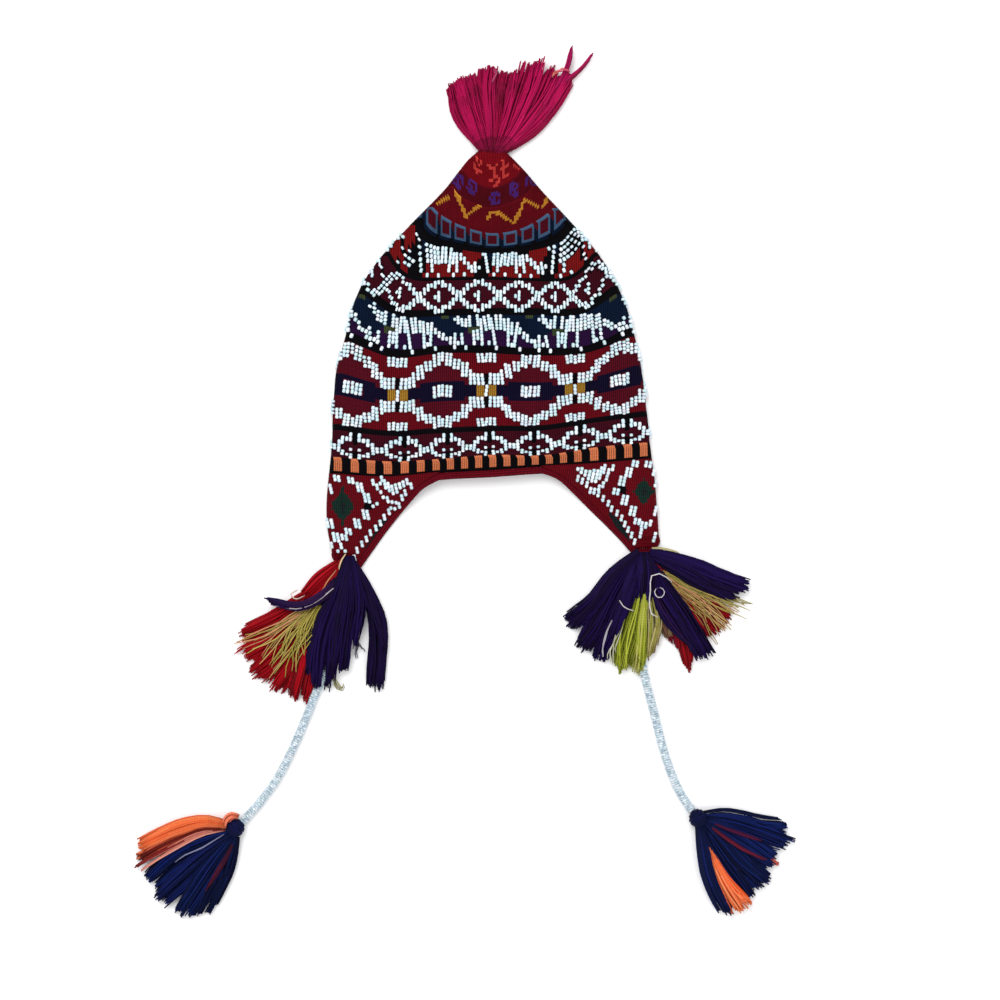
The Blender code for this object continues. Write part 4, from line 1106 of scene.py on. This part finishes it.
# Locks of yarn: places of the middle line in the photograph, widths at the root, halfway and at the
# cut end, thickness and lift over the surface, all in pixels, then colours, strands and waviness.
# Folds are dips of painted shade: place, half sizes and depth. Dark is how far painted shade darkens the
# neck.
tassels = {
    "top": {
        "folds": spots("508,92,10,7,0.55 500,104,6,8,0.45 466,111,5,9,0.4 477,96,5,8,0.35 541,112,8,7,0.25 "
                       "493,150,16,9,0.45"),
        "slot": "crimson_yarn", "replaces": "top_tassel", "high": 7, "radius": 0.0009, "dark": 0.6,
        "locks": (
            ("487,155 474,136 460,112 453,84", (5, 14, 14), 12, 0, "a00448 8e0238", 100, 1.6),
            ("488,155 478,132 468,104 462,78", (6, 16, 18), 15, 2, "a60548 b0084e", 120, 1.6),
            ("490,155 485,128 478,100 473,76", (7, 16, 18), 16, 2, "980340 a60548", 120, 1.6),
            ("492,155 489,128 487,98 489,67", (7, 16, 18), 17, 2, "a60548 9c0442", 120, 1.6),
            ("493,155 497,128 499,104 503,73", (7, 15, 18), 15, 0, "900238 9c0442", 110, 1.6),
            ("495,155 505,128 514,100 522,69", (7, 16, 20), 18, 3, "ac084c 9c0442", 120, 1.6),
            ("496,155 514,128 529,98 540,64", (6, 17, 20), 18, 3, "a60548 b40a52", 120, 1.6),
            ("497,155 521,128 541,100 556,70", (6, 17, 20), 16, 1, "b0084e 9c0442", 120, 1.6),
            ("498,154 525,132 549,106 568,76", (5, 16, 16), 13, 0, "ac084c 980340", 100, 1.2),
            ("498,153 518,140 536,125 551,105", (5, 13, 14), 12, 0, "8e0238 980340", 80, 1.0),
            ("540,104 556,84 566,64 571,46", (7, 9, 1), 4, 8, "a00a50 900a48", 26, 0.8),
            ("545,104 564,82 580,68 592,54", (8, 9, 1), 5, 6, "a00a50 8a1038", 26, 0.8),
            ("552,78 556,72 561,70 566,70", (2, 3, 4), 3, 16, "e8806c", 2, 3.0),
            ("555,74 560,71 565,71 568,74", (2, 3, 4), 3, 16, "d0506a", 2, 3.0),
            ("491,84 493,78 494,72 495,67", (3, 6, 6), 3, 15, "c04c78", 3, 2.0),
        ),
    },
    "flap_left": {
        "slot": "indigo_yarn", "replaces": "flap_tassel_left", "high": 9, "radius": 0.00085, "dark": 0.8,
        "locks": (
            ("342,562 322,584 284,612 243,633", (8, 16, 18), 8, 0, "a00012 8e0412", 100, 1.0),
            ("342,566 318,596 280,632 244,652", (8, 22, 26), 9, 0, "a00012 aa0a16", 130, 1.2),
            ("343,568 320,606 290,646 256,673", (8, 24, 28), 9, 0, "9c0010 8e0412", 130, 1.2),
            ("344,570 322,610 300,652 276,688", (8, 24, 28), 9, 0, "9c0010 7c0410", 130, 1.2),
            ("344,570 326,612 311,652 298,700", (8, 22, 24), 9, 1, "a00012 700410", 120, 1.2),
            ("338,563 324,573 314,582 304,594", (7, 10, 10), 9, 4, "9c0012", 46, 0.4),
            ("336,570 327,582 320,592 314,598", (1, 3, 4), 3, 12, "d89068 c8b070", 4, 1.2),
            ("320,598 296,616 270,630 241,642", (5, 6, 10), 4, 10, "c4a468 b0a050 d09068", 9, 2.6),
            ("322,598 300,618 276,634 256,652", (5, 12, 20), 4, 10, "b8a858 d09068 c4a468", 9, 4.4),
            ("322,598 302,622 284,648 268,668", (6, 16, 26), 5, 10, "b8a858 c4a468 a89848", 12, 5.0),
            ("322,598 306,626 292,652 284,674", (8, 18, 22), 6, 11, "b0a050 b8a858 98903c", 14, 4.4),
            ("324,598 312,618 306,632 304,652", (8, 14, 10), 5, 11, "b0a050 9c9040", 12, 3.0),
            ("340,574 326,593 300,606 270,601", (7, 9, 5), 8, 14, "240838 1a063c 2e0a3c", 60, 0.6),
            ("334,588 316,602 296,609 274,605", (2, 2, 3), 2, 19, "c8c0c4", 3, 0.8),
            ("298,590 292,594 296,598 306,596", (1, 2, 2), 2, 19, "d0b8b0", 2, 1.0),
            ("347,556 338,586 319,630 311,674", (6, 20, 20), 12, 4, "0e002a 14003c", 130, 1.6),
            ("348,556 342,588 328,636 322,686", (7, 24, 22), 14, 5, "14003c 120032", 150, 1.6),
            ("349,556 347,588 340,630 335,670", (7, 22, 22), 15, 6, "14003c 0e002a", 140, 1.6),
            ("350,556 354,586 355,612 349,644", (7, 20, 16), 13, 5, "180444 10002e", 110, 1.6),
            ("351,560 366,588 378,626 375,688", (6, 15, 17), 11, 1, "0e002a 130036", 130, 1.6),
            ("352,562 368,592 378,622 383,650", (5, 12, 12), 10, 3, "130036 0e002a", 70, 2.4),
            ("326,668 334,678 341,688 345,680", (2, 6, 8), 3, 2, "8c8858 b0a878", 5, 3.0),
            ("350,636 356,642 359,650 357,660", (3, 6, 8), 3, 2, "3c3448 8a8490", 6, 3.0),
            ("346,554 342,560 340,566 339,570", (1, 2, 2), 2, 13, "d8b890", 3, 0.4),
        ),
    },
    "flap_right": {
        "slot": "indigo_yarn", "replaces": "flap_tassel_right", "high": 9, "radius": 0.00085, "dark": 0.8,
        "locks": (
            ("640,552 616,574 596,602 570,624", (7, 18, 18), 10, 1, "0e002a 14003c", 130, 1.6),
            ("641,553 620,586 602,620 585,648", (7, 22, 22), 11, 1, "14003c 0e002a", 140, 1.6),
            ("642,554 627,590 612,628 601,660", (7, 20, 18), 11, 1, "130036 180444", 120, 1.6),
            ("650,562 680,588 706,608 724,626", (8, 26, 28), 8, 0, "980010 820410", 120, 1.2),
            ("650,566 678,600 696,622 706,640", (8, 26, 22), 8, 0, "8a0412 6a0820", 100, 1.2),
            ("650,566 672,604 684,632 690,666", (8, 22, 6), 8, 0, "980010 7c0410", 90, 0.8),
            ("650,566 668,600 676,624 680,646", (8, 20, 14), 8, 0, "8e0412 6a0820", 80, 0.8),
            ("656,568 692,586 722,600 744,609", (6, 14, 20), 5, 7, "b0a050 c4a468 98904a", 26, 3.0),
            ("658,570 690,592 712,608 732,624", (6, 16, 24), 5, 7, "c4a468 b09058 d09068", 18, 4.0),
            ("658,574 680,594 698,612 716,636", (5, 12, 18), 5, 7, "b09058 a89048 7c3028", 12, 4.0),
            ("652,548 664,548 674,551 682,556", (4, 4, 3), 4, 6, "c0b888 a8a070", 8, 1.0),
            ("644,562 638,592 628,628 622,668", (5, 16, 16), 12, 4, "98a02c 868e26 a8a848", 80, 3.0),
            ("645,562 643,594 638,628 634,668", (5, 20, 22), 14, 5, "a4ac38 949c2c b0ac5c", 110, 3.0),
            ("647,562 650,596 652,626 648,656", (5, 20, 20), 12, 3, "a89c68 989048 8c7450", 80, 3.0),
            ("650,562 658,590 664,616 668,636", (5, 16, 12), 10, 1, "7c5840 6a4838 8c7450", 60, 2.0),
            ("640,556 632,580 624,604 613,634", (8, 14, 10), 9, 13, "130036 180444", 90, 1.4),
            ("645,552 646,572 645,588 643,602", (12, 18, 16), 10, 13, "0e002a 180444", 110, 1.4),
            ("648,556 664,586 686,620 706,655", (8, 18, 19), 12, 8, "14003c 0e002a", 130, 1.4),
            ("648,558 656,586 672,614 692,640", (7, 18, 18), 11, 9, "180444 14003c 240638", 100, 1.6),
            ("650,553 682,562 714,576 745,588", (8, 16, 17), 11, 6, "14003c 180444", 130, 1.4),
            ("650,556 682,570 710,584 734,596", (7, 17, 14), 11, 8, "0e002a 14003c", 110, 1.4),
            ("671,582 660,574 651,576 650,590 649,604 653,616 658,616", (1, 1, 1), 1, 24, "d8d4d4", 2, 0.4),
            ("659,587 663,589 664,593 661,597 657,597 654,593 655,589 659,587", (1, 1, 1), 1, 23, "d0ccd0",
             2, 0.0),
            ("619,600 623,606 628,609 634,611", (1, 1, 1), 1, 22, "d0ccc8", 2, 0.4),
            ("612,620 606,632 603,646 603,656", (2, 4, 4), 2, 14, "b0acb4", 3, 1.0),
            ("622,626 616,640 612,652 614,664", (2, 6, 8), 2, 14, "c8c8b0 a8a890", 5, 2.4),
        ),
    },
    "end_left": {
        "slot": "navy_yarn", "replaces": "end_tassel_left", "high": 8, "radius": 0.00088, "dark": 0.7,
        "locks": (
            ("228,826 204,822 174,830 139,846", (7, 14, 11), 11, 2, "f07040 f88450 e86838", 130, 0.4),
            ("226,828 198,829 168,840 137,857", (6, 12, 14), 8, 1, "e87850 a03c28 6a1c18", 70, 1.2),
            ("226,829 200,834 170,848 139,866", (4, 6, 8), 6, 4, "5a0c14 7a2020 c87868", 24, 1.2),
            ("226,830 200,836 170,852 141,871", (3, 4, 6), 6, 8, "d89080 c87868", 10, 0.6),
            ("232,834 200,846 172,862 149,884", (8, 22, 20), 12, 0, "000c38 061c62", 120, 0.5),
            ("232,836 206,856 182,878 160,898", (9, 24, 20), 13, 1, "06144e 000c38", 120, 0.5),
            ("233,837 214,862 198,886 180,914", (9, 24, 20), 13, 1, "000c36 061a56", 120, 0.5),
            ("234,837 222,862 212,886 198,915", (8, 22, 18), 12, 0, "041246 000a30", 120, 0.5),
            ("236,837 230,860 222,880 210,904", (6, 14, 12), 10, 0, "02082e 061a56", 80, 0.5),
            ("234,836 229,852 219,870 205,891", (3, 6, 4), 4, 13, "4c0c28 380c28", 18, 0.5),
            ("224,834 204,846 186,854 176,862", (2, 3, 3), 3, 14, "8a8cb0", 3, 0.8),
            ("238,818 232,816 227,820 224,826", (4, 6, 5), 6, 10, "e07058 f08060", 26, 0.4),
        ),
        "knot": ((234.5, 828.5), 8.6, "#030834"),
    },
    "end_right": {
        "slot": "navy_yarn", "replaces": "end_tassel_right", "high": 8, "radius": 0.00088, "dark": 0.7,
        "locks": (
            ("704,816 726,815 754,822 786,824", (8, 14, 10), 11, 0, "000c36 061a56", 100, 0.8),
            ("705,819 728,822 758,832 786,843", (8, 20, 22), 13, 1, "06144e 000c38 061c62", 130, 0.9),
            ("706,822 728,832 752,846 774,862", (8, 22, 20), 14, 1, "041246 061a56", 120, 0.6),
            ("706,824 724,842 744,864 766,884", (8, 22, 20), 14, 1, "000c36 061a56", 120, 0.6),
            ("704,826 716,848 732,872 750,896", (8, 20, 14), 12, 1, "02082e 041246", 110, 0.6),
            ("709,846 718,869 730,890 743,909", (3, 12, 23), 10, 8, "f07040 e05a28 f08858", 90, 0.8),
            ("700,826 705,856 713,884 727,912", (7, 15, 13), 13, 2, "000c36 06144e", 120, 0.5),
            ("704,822 726,838 744,850 767,860", (3, 5, 5), 4, 15, "5a1028 480c28 6a1a34", 18, 0.8),
            ("706,820 726,828 744,834 762,840", (2, 4, 4), 3, 15, "440c30 380c34", 12, 0.8),
            ("762,854 770,860 776,864 780,864", (4, 8, 5), 4, 8, "e08060 c05848", 12, 1.5),
        ),
        "knot": ((698.5, 819), 8.4, "#020830"),
    },
}
strand = {
    "steps": 10, "sides": 3, "clump": 7, "few": 6, "looseWave": 2.2, "looseBelow": 30, "thin": 0.62,
    "ends": (0.985, 0.028), "looseEnds": (0.92, 0.13), "endNoise": 0.018, "round": 0.05, "past": 0.3,
    "acrossNoise": 0.2, "highNoise": 0.45, "ripple": 0.0004, "droop": 0.25, "seed": 70,
    "knotRadius": 0.00085, "knotLow": 0.0009, "knotSides": 5, "knotPoints": 25, "knotLaps": 15,
    "knotSpread": 1.35, "knotFlat": 0.92, "knotSeed": 5,
}


# A smooth line through the lock's places, carried a little past its cut end
def lockMiddle(path, steps):
    places = np.array([pxPoint(x, y)[:2] for x, y in path])
    places = np.concatenate([places, [places[-1] + (places[-1] - places[-2]) * strand["past"]]])
    run = np.concatenate([[0], np.cumsum(np.linalg.norm(np.diff(places, axis=0), axis=1))])
    at = np.asarray(steps) * run[-2]
    return np.stack([curveThrough(run, places[:, 0], at), curveThrough(run, places[:, 1], at), 0 * at], -1)


def makeTassel(name, facts, seed):
    chance = np.random.default_rng(seed)
    pixel = view["pixel"]
    steps = np.linspace(0, 1, strand["steps"])
    paths, colours, radii = [], [], []
    for path, widths, thick, lift, shades, strands, wavy in facts["locks"]:
        path, shades = spots(path), ["#" + shade for shade in shades.split()]
        few = strands < strand["few"]
        loose = wavy > strand["looseWave"] and strands < strand["looseBelow"]
        clumps = strands if loose else max(1, round(strands / strand["clump"]))
        middles = np.sort(chance.uniform(-1, 1, clumps)) if clumps > 3 else chance.uniform(-0.4, 0.4, clumps)
        highs = chance.uniform(-1, 1, clumps)
        ends = chance.normal(*strand["looseEnds" if loose else "ends"], clumps)
        waves = chance.uniform(0, 6, clumps)
        for i in range(strands):
            own = i % clumps
            reach = ends[own] + chance.normal(0, strand["endNoise"]) - strand["round"] * middles[own] ** 2
            t = steps * min(reach, 1.1)
            line = lockMiddle(path, t)
            ahead = unit(np.gradient(line, axis=0))
            aside = np.stack([ahead[:, 1], -ahead[:, 0], 0 * t], -1)
            # across the lock, in half widths, gathered into a clump towards the end
            gather = 1 - 0.3 * smooth((steps - 0.55) / 0.45)
            across = middles[own] * 0.92 + chance.normal(0, strand["acrossNoise"]) * gather
            across = np.clip(across, -1.08, 1.08)
            high = np.clip(highs[own] + chance.normal(0, strand["highNoise"]), -1, 1)
            high = high * math.sqrt(max(0.0, 1 - min(1, across.mean() ** 2)))
            wave = np.sin(steps * 6.5 + waves[own]) * 0.7 * steps
            wave = wave + np.sin(steps * chance.uniform(5, 11) + chance.uniform(0, 6)) * 0.5 * steps
            offset = across * np.interp(t, (0, 0.5, 1.1), widths) / 2 + wavy * wave
            # from the bound neck up or down to the lock's own height
            settled = 1.0 + 0 * steps if few else smooth(steps * 2.2)
            z = facts["high"] * pixel * (1 - settled) + (lift + thick / 2) * pixel * settled
            z = z + high * thick / 2 * pixel * (0.45 + 0.55 * settled)
            z = z * (1 - strand["droop"] * smooth((steps - 0.6) / 0.4))
            z = z + np.sin(steps * 5 + waves[own]) * strand["ripple"] * steps
            z = np.maximum(z, facts["radius"] * 1.15)
            paths.append(line + aside * (offset * pixel)[:, None] + np.outer(z, (0, 0, 1)))
            # painted shade: darker at the neck and in the folds
            shade = np.array(linear(shades[(own if chance.uniform() < 0.7 else i) % len(shades)]))[:3]
            # painted shade: strands lying lower in the lock are darker, times random tone
            shade = shade * chance.uniform(0.86, 1.12) * (0.86 + 0.14 * max(0.0, float(high)))
            along = np.interp(steps[:-1], (0, 0.25, 1), (facts["dark"], 1, 1.05))
            for foldX, foldY, wideX, wideY, depth in facts.get("folds", ()):
                away = (line[:-1, :2] - np.array(pxPoint(foldX, foldY)[:2])) / pixel / (wideX, wideY)
                along = along * (1 - depth * np.exp(-np.sum(away ** 2, axis=1)))
            colours.append(np.append(shade * along[:, None], np.ones((len(along), 1)), axis=1))
            thin = np.interp(steps, (0, 0.1, 0.88, 1), (0.8, 1, 1, 0.75))
            thin = thin * (strand["thin"] if loose or few else 1)
            radii.append(facts["radius"] * thin * chance.uniform(0.85, 1.15))
    sides = strand["sides"]
    verts, faces, uvs = tubeArrays(paths, np.array(radii), sides)
    shades = np.array(colours)
    loopColours = np.concatenate([
        np.repeat(shades.reshape(-1, 4), sides * 4, axis=0),
        np.repeat(shades[:, 0], sides, axis=0), np.repeat(shades[:, -1], sides, axis=0)])
    piece = makePiece(f"{name}_yarn", verts, faces, loopColours, uvs, looseYarn)
    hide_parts(facts["replaces"])
    return piece


# Yarn wound round the end of a tie, loop beside loop
def makeKnot(name, facts, along):
    (x, y), size, colour = facts["knot"]
    radius, flat = size * view["pixel"], strand["knotFlat"]
    centre = np.array(pxPoint(x, y, radius * flat))
    along = np.append(unit(along), 0)
    aside = np.array((along[1], -along[0], 0))
    chance = np.random.default_rng(strand["knotSeed"])
    paths, shades = [], []
    turn = np.linspace(0, 2 * pi, strand["knotPoints"])
    for lap in np.linspace(-strand["knotSpread"], strand["knotSpread"], strand["knotLaps"]):
        tilt = chance.normal(0, 0.10)
        around = np.outer(np.cos(turn), aside) + np.outer(np.sin(turn), (0, 0, flat))
        loop = centre + radius * (math.cos(lap) * around + math.sin(lap) * along
                                  + tilt * np.outer(np.cos(turn), along) * math.cos(lap))
        loop[:, 2] = np.maximum(loop[:, 2], strand["knotLow"])
        paths.append(loop)
        shade = np.array(linear(colour))
        shade[:3] *= chance.uniform(0.8, 1.3)
        shades.append(shade)
    sides = strand["knotSides"]
    verts, faces, uvs = tubeArrays(paths, strand["knotRadius"], sides)
    loopColours = np.concatenate([np.repeat(shades, (len(turn) - 1) * sides * 4, axis=0),
                                  np.repeat(shades, sides, axis=0), np.repeat(shades, sides, axis=0)])
    return makePiece(f"{name}_knot", verts, faces, loopColours, uvs, looseYarn)


yarnPieces = {}
for seed, (name, facts) in enumerate(tassels.items()):
    yarnPieces[name] = [makeTassel(name, facts, strand["seed"] + seed)]
    if "knot" in facts:
        route = tieCores[name.split("_")[1]][2]
        yarnPieces[name].append(makeKnot(name, facts, (route[-1] - route[-3])[:2]))
